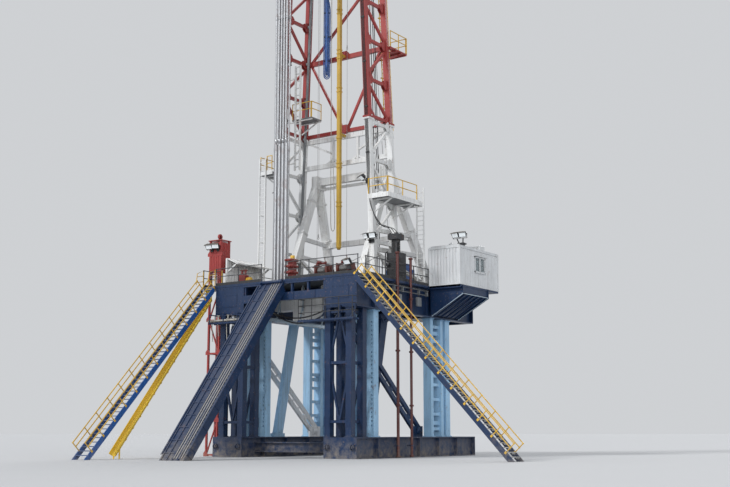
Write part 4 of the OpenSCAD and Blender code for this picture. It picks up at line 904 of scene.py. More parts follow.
s = Shape()
for low, high in (
    ((-2.74, -2.54), (-0.87, -2.54)), ((0.06, -2.54), (2.74, -2.54)), ((2.746, -2.16), (2.746, 1.30)),
    ((-2.724, -0.30), (-2.724, 4.11)), ((-2.71, 4.124), (2.71, 4.124)), ((-3.246, -2.54), (-3.246, -2.20)),
):
    rail_fittings(s, low, high)
s.build("rail_fittings", dark, "navy_steel")

# The floor's edge angle and its bolts
s = Shape(0, 0, 5.222)
for p, d, out in (
    ((-2.75, -2.556, 0), X * 5.5, -Y), ((-2.756, -2.1, 0), Y * 6.25, -X),
    ((2.756, -2.2, 0), Y * 3.5, X), ((-2.75, 4.156, 0), X * 5.5, Y),
):
    p, q, end = Vector(p), Vector(p) + d, d.normalized() * 0.1 - out * 0.006
    s.block((p + q) / 2, d / 2, out * 0.006, Z * 0.036, 0.003)
    s.nuts(p + end + out * 0.012, q - end, int(d.length / 0.32), out, 0.009, 0.009)
s.build("floor_edge", navy, "navy_steel")

# The landing's cage at the top of the left flight
s = Shape(0, -2.545, 0)
for x in (-3.262, -2.762):
    s.tube([(x, 0, FLOOR), (x, 0, 5.79), (x, -0.275, 5.66), (x, -0.315, 5.30)], 0.013)
    s.row(2, Z * 0.18, s.rod, (x, 0, 5.44), vec(0, -0.285, -0.06), 0.011)
s.row(2, Y * 0.325, s.rod, (-2.762, 0, FLOOR), Z * 0.54, 0.013)
s.build("stair_head_cage", yellow, "yellow_steel")


# Platforms on the mast: brackets below, toe boards and grating edges
def platform(s, wall, outer, y0, y1, z, brackets):
    """Fits a platform that reaches from the steel at wall to outer, along X."""
    for y in (y0, y1):
        s.box((wall, y - 0.006, z - 0.05), (outer, y + 0.006, z + 0.10), 0.002)
    s.box((outer - 0.006, y0, z - 0.05), (outer + 0.006, y1, z + 0.10), 0.002)
    for y in brackets:
        s.bar((wall, y, z - 0.03), (outer, y, z - 0.03), 0.05)
        s.bar((wall, y, z - 0.42), (outer + (wall - outer) * 0.12, y, z - 0.05), 0.045)
        s.box((wall, y - 0.06, z - 0.5), (wall + 0.02, y + 0.06, z - 0.02), 0.003)


s = Shape()
left_face, right_face = MAST_X - mast_x(9.2) - 0.09, MAST_X + mast_x(7.9) + 0.09
platform(s, left_face, left_face - 0.55, -0.62, 0.23, 9.2, (-0.3,))
platform(s, right_face, right_face + 0.76, -0.62, 1.38, 7.9, (-0.3, 0.9))
s.row(2, Y * 0.48, s.bar, (-1.86, 0.14, 11.04), (-1.03, 0.14, 11.04), 0.04)
s.bar((-1.84, 0.62, 10.7), (-1.20, 0.62, 11.03), 0.04)
s.row(2, X * 0.4, s.bar, (1.0, 0.98, 12.85), (1.0, 1.75, 13.21), 0.04)
s.row(3, Y * 0.32, s.bar, (0.93, 0.98, 13.20), (1.57, 0.98, 13.20), 0.04)
s.bar((0.93, 1.9, 13.21), (1.57, 1.9, 13.21), 0.04)
for x, y, top, reach in ((left_face - 0.4, -0.638, 9.7, 0.3), (right_face + 0.778, 1.18, 8.4, -0.2)):
    s.row(2, X * 0.254, s.box, (x - 0.147, y - 0.026, FLOOR), (x - 0.107, y + 0.026, top))
    for z in (5.9, 6.9, 7.8):
        s.bar((x - 0.1, y, z), (x - 0.1, y + reach, z), 0.03)
s.build("platform_fittings", platform_white, "white_steel")

# Winches on the floor's right front corner
rope, s = Shape(), Shape()
for x in (0.95, 1.75):
    rope.move(x, -2.35, FLOOR)
    s.move(x, -2.35, FLOOR)
    rope.row(16, X * 0.0195, rope.ring, (0.105, 0.21, 0.23), X, 0.098, 0.0098, 20, 6)
    rope.tube([(0.25, 0.21, 0.332), (0.25, 1.2, 0.5), (0.2, 2.2, 0.9)], 0.0098, 6)
    for a in (0.03, 0.49):
        s.drum((a - 0.012, 0.21, 0.23), X * 0.024, 0.06)
        s.nuts((a - 0.01, 0.07, 0.05), (a - 0.01, 0.35, 0.05), 4, Z)
    s.row(9, X * 0.014, s.ring, (0.42, 0.21, 0.23), X, 0.112, 0.004, 20, 4)
    s.box((0.40, 0.30, 0.05), (0.52, 0.40, 0.26), 0.01)
    s.box((0.43, 0.05, 0.06), (0.50, 0.12, 0.30), 0.008)
    s.tube([(0.46, 0.08, 0.28), (0.47, 0.02, 0.42), (0.47, -0.02, 0.56)], 0.009)
    s.lathe((0.47, -0.02, 0.56), Z, [(0, -0.02), (0.02, -0.01), (0.02, 0.02), (0, 0.03)], 12)
    for a, b in circle(0.14, 8):
        s.nut((0.445, 0.21 + a, 0.23 + b), X, 0.008, 0.01)
rope.build("winch_rope", rope_steel, "bare_steel")
s.build("winch_fittings", brown, "brown_steel")

# Drawworks: rope on the drum, brake discs, panels, lifting eyes and motor fins
DRAWWORKS = (MAST_X - 1.15, 2.35, FLOOR)
rope, s = Shape(*DRAWWORKS), Shape(*DRAWWORKS)
for x, n in ((0.617, 24), (1.187, 22)):
    rope.row(n, X * 0.0205, rope.ring, (x, 0.5, 0.52), X, 0.24, 0.0102, 28, 6)
for x, (a, b) in product((0.62, 1.16, 1.70), circle(0.265, 12)):
    s.nut((x, 0.5 + a, 0.52 + b), X, 0.01, 0.012)
for x0, x1 in ((0.0, 0.56), (1.74, 2.30)):
    for y, out in ((0.06, -1), (0.94, 1)):
        s.box((x0 + 0.05, y + out * 0.004 - 0.006, 0.18), (x1 - 0.05, y + out * 0.004 + 0.006, 0.82))
        for z in (0.2, 0.5, 0.8):
            s.nuts((x0 + 0.07, y + out * 0.01, z), (x1 - 0.07, y + out * 0.01, z), 5, Y * out, 0.008, 0.008)
        a, b, grip = x0 + 0.22, x0 + 0.34, y + out * 0.05
        s.tube([(a, y, 0.6), (a, grip, 0.6), (b, grip, 0.6), (b, y, 0.6)], 0.007, 6)
    s.row(2, Y * 0.72, s.ring, ((x0 + x1) / 2, 0.14, 0.93), X, 0.035, 0.01, 16, 6)
s.row(10, Z * 0.015, s.ring, (0.09, 0.5, 0.92), Z, 0.152, 0.004, 24, 4)
s.row(12, X * 0.03, s.box, (1.84, 0.15, 1.08), (1.85, 0.85, 1.10), 0.002)
s.row(2, X * 1.14, s.drum, (0.56, 0.5, 0.52), X * 0.04, 0.34, 32)
rope.build("drum_rope", rope_steel, "bare_steel")
s.build("drawworks_fittings", blue, "blue_steel")

# The power unit on the floor: panels, fan grille, stack and gauges
s = Shape(2.15, -0.30, FLOOR)
s.box((0.07, 0.048, 0.16), (0.43, 0.062, 0.84))
s.row(12, Z * 0.045, s.box, (0.10, 0.036, 0.22), (0.40, 0.050, 0.24), 0.002)
s.row(2, Z * 0.64, s.nuts, (0.085, 0.048, 0.18), (0.415, 0.048, 0.18), 5, -Y, 0.007, 0.008)
s.box((0.455, 0.12, 0.2), (0.468, 0.44, 0.8))
s.row(9, Z * 0.04, s.ring, (0.24, 0.27, 0.94), Z, 0.118, 0.009, 20, 6)
for x, y in product((0.12, 0.34), (0.14, 0.40)):
    s.lathe((x, y, 1.5), Z, [(0, 0), (0.03, 0), (0.03, 0.03), (0.02, 0.05), (0, 0.05)], 12)
s.drum((0.12, -0.03, 0.55), Y * 0.08, 0.06)
for x, z in ((0.05, 0.9), (0.45, 1.2)):
    s.tube([(x, -0.02, 0.05), (x, -0.02, z), (x, 0.10, z + 0.05)], 0.022, 10)
s.build("power_unit_fittings", dark, "grey_steel")

# Doghouse: corrugated walls, corner posts, window frames, door frame, roof gear
DOGHOUSE, DOG_W, DOG_L, DOG_H = (DECK_HALF, 1.33, FLOOR), 1.1, 2.45, 1.2
RIB_PITCH, RIB_FOOT, RIB_TOP = 0.122, 0.05, DOG_H - 0.06


def rib(s, base, out, h, t):
    """An upright pressed rib on a wall, standing out along out."""
    along = out.cross(Z)
    low = [base + along * a + out * b for a, b in ((-0.044, 0), (0.044, 0), (0.034, t), (-0.034, t))]
    around = [[i, (i + 1) % 4, (i + 1) % 4 + 4, i + 4] for i in range(4)]
    s.add(low + [p + Z * h for p in low], [[0, 3, 2, 1], [4, 5, 6, 7]] + around)


def ribs(s, start, along, out, l, gaps=(), t=0.024):
    """Ribs from start along a wall of length l, left out over the gaps (from, to, low, high)."""
    n = int(l / RIB_PITCH) + 1
    for i in range(n):
        a = (i + 0.5) * l / n
        spans = [(RIB_FOOT, RIB_TOP)]
        for g0, g1, low, high in gaps:
            if g0 - 0.06 < a < g1 + 0.06:
                spans = [(RIB_FOOT, low - 0.05), (high + 0.05, RIB_TOP)]
        for b, top in spans:
            if top - b > 0.04:
                rib(s, vec(*start, b) + along * a, out, top - b, t)


s = Shape(*DOGHOUSE)
ribs(s, (0, 0), X, -Y, DOG_W)
ribs(s, (0, DOG_L), X, Y, DOG_W)
ribs(s, (DOG_W, 0), Y, X, DOG_L, [(0.95, 1.55, 0.52, 0.94)], 0.008)
ribs(s, (0, 0), Y, -X, DOG_L, [(0.30, 0.75, 0.0, 1.0), (1.30, 1.90, 0.52, 0.94)])
for x, y in product((0, DOG_W), (0, DOG_L)):
    s.box((x - 0.03, y - 0.03, 0), (x + 0.03, y + 0.03, DOG_H), 0.006)
for z in (0.0, DOG_H - 0.05):
    s.box((-0.026, -0.026, z), (DOG_W + 0.026, 0.0, z + 0.05))
    s.box((-0.026, DOG_L, z), (DOG_W + 0.026, DOG_L + 0.026, z + 0.05))
    s.box((DOG_W, 0, z), (DOG_W + 0.026, DOG_L, z + 0.05))
s.box((-0.026, 0, DOG_H - 0.05), (0, DOG_L, DOG_H))
for x, out, y in ((DOG_W, 1, 0.95), (0, -1, 1.30)):
    for a, b, z0, z1 in ((-0.03, 0.63, 0.47, 0.52), (-0.03, 0.63, 0.94, 0.98), (-0.03, 0.0, 0.47, 0.98),
                         (0.60, 0.63, 0.47, 0.98), (0.285, 0.315, 0.5, 0.95)):
        s.box((x + out * 0.034, y + a, z0), (x - out * 0.01, y + b, z1), 0.003)
    s.box((x, y - 0.05, 0.985), (x + out * 0.11, y + 0.65, 0.997), 0.003)
    s.box((x, y - 0.04, 0.455), (x + out * 0.06, y + 0.64, 0.47), 0.003)
s.row(2, Y * 0.49, s.box, (-0.04, 0.26, 0), (0.045, 0.30, 1.04))
s.box((-0.04, 0.26, 1.0), (0.045, 0.79, 1.04))
s.box((0.25, 1.9, 1.246), (0.75, 2.25, 1.50), 0.02)
s.row(9, Z * 0.022, s.box, (0.28, 1.888, 1.28), (0.72, 1.90, 1.29), 0.002)
s.drum((0.3, 0.9, 1.24), Z * 0.18, 0.06, 20)
s.lathe((0.3, 0.9, 1.42), Z, [(0, 0), (0.1, 0), (0.1, 0.02), (0.03, 0.07), (0, 0.07)], 20)
s.row(2, Y * 2.33, s.box, (0.03, 0.05, 1.23), (1.07, 0.07, 1.27), 0.003)
s.build("doghouse_fittings", sheet, "pale_sheet")

# The bracket under the doghouse: bright edge flanges and stiffeners
s = Shape(*DOGHOUSE)
for y in (0.116, 0.144, 1.733, 1.761):
    s.bar((0.0, y, -0.925), (1.13, y, -0.285), 0.010, 0.022, Z)
s.box((1.10, 0.11, -0.285), (1.125, 1.77, -0.262))
s.kind = 1
s.box((1.10, 0.0, -0.062), (1.115, DOG_L, 0.0), 0.003)
s.row(5, Y * 0.28, s.bar, (0.03, 0.38, -0.895), (1.08, 0.38, -0.272), 0.016, 0.05, Z)
s.box((-0.004, 0.0, -0.095), (1.12, 0.012, 0.0), 0.003)
s.nuts((0.1, 0.0, -0.048), (1.0, 0.0, -0.048), 7, -Y, 0.01, 0.012)
s.build("bracket_flanges", [pale_blue, navy], "navy_steel")

# Pipe ramp, from its foot: bright skid rails, cleats, side plates and top roller
RAMP_ANGLE, RAMP_H = math.radians(52), 5.21
RAMP_FOOT = (-0.4, DECK_FRONT - RAMP_H / math.tan(RAMP_ANGLE), 0)
up = vec(0, math.cos(RAMP_ANGLE), math.sin(RAMP_ANGLE))
over = X.cross(up)
end = RAMP_H / math.sin(RAMP_ANGLE)
s, skid = Shape(*RAMP_FOOT), Shape(*RAMP_FOOT)
rail = X * 0.05 + over * 0.012 + up * end / 2
skid.row(4, X * 0.09, skid.block, rail, X * 0.017, over * 0.014, up * (end / 2 - 0.05), 0.006)
cleat = X * 0.385 + over * 0.006 + up * 0.2
skid.row(46, up * 0.138, skid.block, cleat, X * 0.022, over * 0.006, up * 0.03, 0.003)
s.row(15, up * 0.43, s.block, X * -0.21 + over * 0.008 + up * 0.25, X * 0.20, over * 0.012, up * 0.016)
for x in (-0.452, 0.452):
    s.block(X * x + up * end / 2 - over * 0.085, X * 0.008, over * 0.135, up * (end / 2 - 0.19), 0.003)
    p = X * x * 1.025 + up * 0.4 - over * 0.09
    s.row(9, up * 0.72, s.block, p, X * 0.01, over * 0.10, up * 0.012, 0.003)
    p = X * x * 1.03 + up * end / 2 + over * 0.046
    s.block(p, X * 0.022, over * 0.006, up * (end / 2 - 0.16), 0.002)
s.drum(X * -0.42 + up * (end - 0.05) + over * 0.05, X * 0.84, 0.05, 24)
for x in (-0.38, 0.38):
    s.block(X * x + up * (end - 0.06) + over * 0.03, X * 0.012, over * 0.07, up * 0.07)
    s.block(X * x + up * (end - 0.16), X * 0.02, over * 0.03, up * 0.09)
s.build("ramp_fittings", navy, "navy_steel")
skid.build("ramp_rails", bare, "bare_steel")

# Escape slide, from its head: rolled edges, side rail with ties, and bolts under it
SLIDE_ANGLE, SLIDE_TOP = math.radians(51.3), FLOOR - 0.385
down = vec(0, -math.cos(SLIDE_ANGLE), -math.sin(SLIDE_ANGLE))
rise = down.cross(X)
slide_l = (SLIDE_TOP - 0.15) / math.sin(SLIDE_ANGLE)
s = Shape(-3.01, DECK_FRONT, SLIDE_TOP)
s.rod(X * 0.175 + down * 0.1 + rise * 0.03, down * (slide_l - 0.1), 0.012)
for i in range(14):
    p = down * (0.42 + 0.42 * i)
    s.bar(p + X * 0.125, p + X * 0.175 + rise * 0.03, 0.014)
    for a, b in product((-0.142, 0.142), (-0.012, 0.036)):
        s.nut(p + X * a + down * b - rise * 0.03, -rise, 0.008, 0.02)
s.row(2, X * 0.246, s.rod, X * -0.123 + rise * 0.004, down * slide_l, 0.013)
s.build("slide_fittings", slide_paint, "yellow_steel")

# Stairs: nosings, tread bars and rail clamps
STEPS, GOING, CLAMPS = 44, 0.113, 13
RISE = FLOOR / STEPS
for start, out, side, name, tread_paint, stringer_paint in (
    (RIGHT_FLIGHT, X, Y, "right", tread_steel, navy), (LEFT_FLIGHT, -Y, X, "left", blue_treads, blue),
):
    s, clamps = Shape(*start), Shape(*start)
    for k in range(1, STEPS):
        p = out * ((k - 1) * GOING + 0.004) - Z * (k * RISE) + side * 0.26
        s.block(p + out * 0.010 + Z * 0.002, out * 0.010, side * 0.236, Z * 0.008, 0.003)
        q = p + out * 0.034 + Z * 0.003
        s.row(5, out * 0.021, s.block, q, out * 0.004, side * 0.232, Z * 0.004, 0.001)
        q = p + out * 0.06 - side * 0.232 - Z * 0.03
        s.row(2, side * 0.464, s.block, q, out * 0.045, side * 0.004, Z * 0.026, 0.002)
    slope = (out * GOING - Z * RISE).normalized()
    square = (Z * GOING + out * RISE).normalized()
    flight_l = FLOOR / math.sin(math.atan2(RISE, GOING)) - 0.335
    for a in (0.012, 0.508):
        clamps.kind = 0
        for k in range(CLAMPS):
            p = side * a + slope * (0.04 + k * (flight_l - 0.04) / (CLAMPS - 1))
            clamps.block(p - square * 0.02, slope * 0.03, side * 0.018, square * 0.034, 0.003)
            q = p + square * 0.164
            clamps.row(2, square * 0.151, clamps.block, q, slope * 0.019, side * 0.016, square * 0.017)
        clamps.kind = 1
        p = side * a + slope * 0.9 - square * 0.075
        clamps.row(4, slope * 1.75, clamps.block, p, slope * 0.06, side * 0.016, square * 0.045)
    s.build("tread_bars_" + name, tread_paint, "bare_steel")
    clamps.build("rail_clamps_" + name, [yellow, stringer_paint], "yellow_steel")

# Hoist tower: panel ribs, roof, pulley, gussets, foot plates and ropes
HOIST, HOIST_W, HOIST_D, HOIST_H = (-3.42, -2.12, 0), 0.5, 0.44, 6.8
MID_X, MID_Y, FAR_X = HOIST_W / 2, HOIST_D / 2, HOIST_W - 0.03
s, rope = Shape(*HOIST), Shape(*HOIST)
s.row(6, X * 0.076, s.cube, (0.06, 0.009, 6.25), 0.014, 0.007, 0.49, 0.003)
s.row(5, Y * 0.075, s.cube, (HOIST_W - 0.009, 0.07, 6.25), 0.007, 0.014, 0.49, 0.003)
s.box((-0.03, -0.03, HOIST_H), (HOIST_W + 0.03, HOIST_D + 0.03, HOIST_H + 0.03), 0.006)
s.bar((MID_X, MID_Y, HOIST_H + 0.03), (MID_X, MID_Y, HOIST_H + 0.2), 0.06)
s.drum((MID_X - 0.03, MID_Y, HOIST_H + 0.16), X * 0.06, 0.09, 24)
s.row(2, Z * 0.08, s.box, (0, -0.008, 5.62), (HOIST_W, 0.01, 5.65), 0.003)
CLIPPED = [(-0.09, -0.06), (0.09, -0.06), (0.09, 0.03), (0.03, 0.1), (-0.03, 0.1), (-0.09, 0.03)]
for k in range(7):
    z = 0.045 + 1.05 * k
    for x in (0.03, FAR_X):
        s.plate(CLIPPED, (x, -0.003, z + 0.02), X, Z, 0.01)
        s.nuts((x - 0.05, -0.008, z + 0.02), (x + 0.05, -0.008, z + 0.02), 3, -Y, 0.008, 0.008)
    s.box((HOIST_W - 0.002, 0.02, z), (HOIST_W + 0.008, 0.12, z + 0.09), 0.003)
for x, y in product((0.03, FAR_X), (0.03, HOIST_D - 0.03)):
    s.cube((x, y, 0.009), 0.06, 0.06, 0.009, 0.003)
s.build("hoist_tower_fittings", red, "red_steel")
rope.row(2, Y * 0.14, rope.rod, (MID_X, 0.15, 0.1), Z * (HOIST_H + 0.1), 0.007, 6)
rope.build("hoist_ropes", rope_steel, "bare_steel")

# Wind wall: frame caps, posts and rails
s = Shape()
s.box((-2.757, -2.06, 6.17), (-2.70, -0.34, 6.205))
for y in (-2.05, -1.2, -0.36):
    s.box((-2.752, y - 0.025, FLOOR), (-2.70, y + 0.025, 6.2))
    s.nuts((-2.752, y, FLOOR + 0.1), (-2.752, y, 6.1), 6, -X, 0.009, 0.01)
s.row(2, Z * 0.35, s.box, (-2.756, -2.05, 5.5), (-2.744, -0.35, 5.53), 0.003)
s.box((-2.30, -2.05, 6.0), (-2.27, -0.35, 6.03), 0.003)
s.build("wind_wall_frame", white, "white_steel")

# Front legs, towers and braces: base plates, slot rims, panels, pins and lacing
s, tower, brace = Shape(), Shape(), Shape()
ENDS = ((SKID, 1), (BOX_LOW, -1))
FOOT = [(-0.2, -0.08), (0.2, -0.08), (0.1, 0.14), (-0.1, 0.14)]
HEAD = [(-0.1, -0.14), (0.1, -0.14), (0.2, 0.08), (-0.2, 0.08)]
PANEL = [(-0.1, -0.14), (0.1, -0.14), (0.1, 0.14), (-0.1, 0.14)]
for side in SIDES:
    for x, w in ((side * 1.69, 0.14), (side * 2.38, 0.15)):
        for z, way in ENDS:
            s.cube((x, LEG_Y, z + way * 0.011), w + 0.045, 0.17, 0.011)
            for y in (LEG_Y - 0.148, LEG_Y + 0.148):
                p = vec(x, y, z + way * 0.022)
                s.nuts(p - X * (w + 0.01), p + X * (w + 0.01), 4, Z * way, 0.013, 0.018)
        s.row(4, Z * 0.62, s.cube, (x, -1.452, 1.925), w + 0.006, 0.004, 0.025, 0.002)
    rim = [(side * BRACE_X + a, b + (0.8 if b < -1e-9 else 1.4)) for a, b in circle(0.108, 24)]
    for y in (LEG_Y - 0.033, LEG_Y + 0.033):
        s.tube([(a, y, b) for a, b in rim + rim[:2]], 0.010, 6)
    # Tower joints
    for x, (y, out) in product((side * 1.65, side * 2.40), ((-2.52, -1), (-1.76, 1))):
        for z in (1.04, 2.71, 4.18):
            tower.plate(PANEL, (x, y + out * 0.006, z), X, Z, 0.012)
            p = vec(x - 0.06, y + out * 0.012, z - 0.09)
            tower.row(3, Z * 0.09, tower.nuts, p, p + X * 0.12, 2, Y * out)
        for z, way in ENDS:
            tower.cube((x, y - out * 0.1, z + way * 0.012), 0.13, 0.13, 0.012)
    for z, (x, out) in product((1.9, 3.4), ((side * 1.55, -side), (side * 2.50, side))):
        tower.box((x - 0.004, -2.5, z), (x + 0.004, -2.34, z + 0.3), 0.002)
        x += out * 0.004
        tower.nuts((x, -2.42, z + 0.04), (x, -2.42, z + 0.26), 4, X * out)
    # Brace pins and lacing
    top, low = vec(side * BRACE_X, -2.207, 4.11), vec(side * BRACE_X, 1.676, 0.79)
    for p in (top, low):
        brace.drum(p - X * 0.10, X * 0.20, 0.055, 20)
        for a in SIDES:
            brace.drum(p + X * (a * 0.05), X * (a * 0.022), 0.11, 20)
    along = (low - top).normalized()
    apart = vec(0, -along.z, along.y)
    for i in range(10):
        p = top.lerp(low, 0.16 + 0.075 * i)
        brace.bar(p - apart * 0.12, p + along * 0.18 + apart * 0.12, 0.05, 0.02, X, 0.002)
    for a, b in product((-0.181, 0.181), (-0.035, 0.035)):
        off = apart * a + X * b
        brace.bar(top.lerp(low, 0.1) + off, top.lerp(low, 0.9) + off, 0.03, 0.012, X, 0.002)
    for y, z, way, outline in ((-0.59, 0.71, 1, FOOT), (0.19, 4.19, -1, HEAD)):
        brace.row(2, X * 0.17, brace.plate, outline, (side * 1.75 - 0.085, y, z), Y, Z, 0.012)
        brace.drum((side * 1.75 - 0.115, y, z + way * 0.04), X * 0.23, 0.045, 18)
s.build("front_leg_fittings", sky, "sky_steel")
tower.build("tower_fittings", navy, "navy_steel")
brace.build("brace_fittings", braces, "sky_steel")

# Rear legs: base plates and rung clips
s = Shape()
for x in (-REAR_LEG_X, REAR_LEG_X):
    for (y, d), (z, way) in product(((1.775, 0.075), (2.375, 0.075), (2.725, 0.125)), ENDS):
        s.cube((x, y, z + way * 0.011), 0.18, d + 0.03, 0.011)
        for a in (-0.16, 0.16):
            p = vec(x + a, y, z + way * 0.022)
            s.nuts(p - Y * d, p + Y * d, 3, Z * way, 0.012, 0.016)
    for y in (1.86, 2.29):
        s.row(8, Z * 3.2 / 7, s.cube, (x, y, SKID + 0.245), 0.09, 0.012, 0.075, 0.003)
s.build("rear_leg_fittings", sky, "sky_steel")

# Skids: pad eyes, pins and bolt rows along the girders
s = Shape()
EYE = [(-0.1, -0.02), (0.02, -0.02), (0.08, 0.03), (0.08, 0.09), (0.02, 0.14), (-0.1, 0.14)]
for side in SIDES:
    for (y, out), x in product(((DECK_FRONT, -1), (DECK_BACK, 1)), (1.68, 2.57)):
        p = vec(side * x, y + out * 0.03, 0.32)
        s.row(2, X * 0.07, s.plate, EYE, p - vec(0.02, 0, 0.06), Y * out, Z, 0.03)
        s.drum(p + vec(-0.06, out * 0.02, 0), X * 0.15, 0.028, 14)
    for z in (0.055, 0.545, BOX_LOW + 0.055, 5.135):
        y = 1.2 if side > 0 and z > SKID else 4.0
        s.nuts((side * 2.584, -2.4, z), (side * 2.584, y, z), int((y + 2.4) / 0.24), X * side, 0.011, 0.012)
s.build("girder_fittings", navy, "navy_steel")

# Front covers of the floor's boxes
s = Shape(0, DECK_FRONT, 0)
for side in SIDES:
    for z in (4.36, 5.13):
        s.nuts((side * 1.60, 0, z), (side * 2.65, 0, z), 9, -Y)
    for x in (side * 1.60, side * 2.65):
        s.nuts((x, 0, 4.5), (x, 0, 5.0), 4, -Y)
    x = side * 2.12
    s.box((x - 0.3, -0.012, 4.55), (x + 0.3, 0, 4.95))
    s.row(2, Z * 0.32, s.nuts, (x - 0.26, -0.012, 4.59), (x + 0.26, -0.012, 4.59), 5, -Y)
for x in (-1.2, -0.4, 0.4, 1.2):
    s.box((x - 0.01, -0.02, 4.64), (x + 0.01, 0, 4.86), 0.003)
s.build("front_box_fittings", navy, "navy_steel")

# Under the floor: grille, frames and doors of the pale boxes, a hung pipe and slack hoses
s = Shape()
s.row(16, Z * 0.021, s.box, (-0.22, -1.318, 4.52), (0.30, -1.302, 4.532), 0.002)
for x0, x1, z0, z1 in (
    (-1.30, -1.26, 4.50, 4.88), (0.44, 0.48, 4.50, 4.88), (-0.56, -0.53, 4.13, 4.46),
    (0.44, 0.48, 4.13, 4.46), (-1.33, 0.51, 4.50, 4.522), (-1.33, 0.51, 4.86, 4.882),
):
    s.box((x0, -1.312, z0), (x1, -1.30, z1), 0.003)
for x0, x1, z0, z1 in (
    (-1.22, -0.80, 4.55, 4.83), (-0.74, -0.30, 4.55, 4.83), (-0.50, -0.05, 4.16, 4.43),
    (0.0, 0.40, 4.16, 4.43),
):
    s.box((x0, -1.314, z0), (x1, -1.30, z1), 0.006)
    s.drum(((x0 + x1) / 2, -1.34, (z0 + z1) / 2), Y * 0.03, 0.02, 12)
    for z in (z0 + 0.04, z1 - 0.04):
        s.nuts((x0 + 0.03, -1.314, z), (x1 - 0.03, -1.314, z), 4, -Y, 0.007, 0.008)
s.kind = 1
s.tube([(-1.30, -1.62, 4.21), (0.90, -1.62, 3.84)], 0.058, 16)
for x, z in ((-1.0, 4.16), (-0.1, 4.008), (0.75, 3.865)):
    s.bar((x, -1.62, z), (x, -1.45, z + 0.62), 0.03)
    s.bar((x, -1.45, 4.4), (x, -1.45, 5.19), 0.03)
    s.flange((x - 0.02, -1.62, z + 0.003), (2.2, 0, -0.37), 0.055, 0.023, 0.04)
s.kind = 2
for x0, x1, y, drop in ((-1.5, 1.4, -1.75, 0.45), (-1.3, 1.5, -1.82, 0.62), (-1.5, 0.2, -1.0, 0.5)):
    part = [i / 18 for i in range(19)]
    s.tube([(x0 + (x1 - x0) * t, y + 0.1 * t, 4.62 - drop * 4 * t * (1 - t)) for t in part], 0.022)
s.build("under_floor_fittings", [white, pale_blue, black_rubber], "white_steel")

# A tray of pipes and valves hung under the left front box
s = Shape()
s.row(2, Y * 0.26, s.box, (-2.72, -2.86, 4.02), (-1.52, -2.82, 4.07))
s.row(12, X * 0.103, s.box, (-2.70, -2.86, 4.07), (-2.66, -2.56, 4.082), 0.002)
for y in (-2.85, -2.59):
    s.row(3, X * 0.57, s.box, (-2.70, y, 4.05), (-2.675, y + 0.025, 4.34), 0.003)
s.row(3, X * 0.57, s.bar, (-2.688, -2.84, 4.32), (-2.688, -2.56, 4.32), 0.03)
s.kind = 1
for y, z, r in ((-2.80, 4.13, 0.030), (-2.71, 4.125, 0.024), (-2.64, 4.14, 0.034)):
    s.rod((-2.78, y, z), X * 1.32, r, 12)
    for x in (-2.5, -2.0, -1.7):
        s.flange((x, y, z), X, r, 0.02, 0.03, 14)
s.row(2, X * 0.4, s.drum, (-2.35, -2.80, 4.13), Z * 0.14, 0.022, 12)
s.row(2, X * 0.4, s.ring, (-2.35, -2.80, 4.28), Z, 0.05, 0.008, 18, 6)
for x, drop in ((-2.66, 0.5), (-2.42, 0.34), (-2.06, 0.62), (-1.66, 0.42)):
    s.tube(rounded([(x, -2.71, 4.11), (x, -2.74, 4.0), (x + 0.03, -2.73, 4.0 - drop)], 5), 0.013)
s.build("tray_under_box", [navy, pale_rubber], "navy_steel")

# Pipes up the right side
s = Shape()
for x, y, r, top in ((2.83, -0.62, 0.045, 6.1), (2.84, 0.10, 0.04, 6.0)):
    s.kind = 0
    s.rod((x, y, 0.02), Z * (top - 0.02), r, 16)
    for z in (0.02, 1.5, 3.1, 4.7, top - 0.06):
        s.flange((x, y, z), Z, r, 0.028, 0.05)
    s.kind = 1
    for z in (0.35, 4.42, 5.05):
        s.bar((x, y, z), (2.68, y, z), 0.04)
        s.ring((x, y, z), Z, r + 0.008, 0.01, 16, 6)
s.build("side_pipes", [maroon, navy], "brown_steel")

# A small railed stand before the right tower
s = Shape()
s.row(2, Y * 0.28, s.box, (0.82, -2.88, 3.90), (2.80, -2.84, 3.95))
s.row(19, X * 0.103, s.box, (0.84, -2.88, 3.95), (0.88, -2.56, 3.962), 0.002)
for x in (1.56, 2.13, 2.66):
    s.box((x, -2.60, 3.93), (x + 0.03, -2.57, 4.36), 0.003)
    s.bar((x + 0.015, -2.86, 3.92), (x + 0.015, -2.56, 4.2), 0.025)
s.kind = 1
for x in (0.84, 1.33, 1.82, 2.30, 2.78):
    s.rod((x, -2.865, 3.95), Z * 0.61, 0.012)
for z in (4.16, 4.36, 4.56):
    s.tube([(0.84, -2.58, z), (0.84, -2.865, z), (2.78, -2.865, z), (2.78, -2.58, z)], 0.010)
s.build("corner_stand", [navy, dark], "navy_steel")

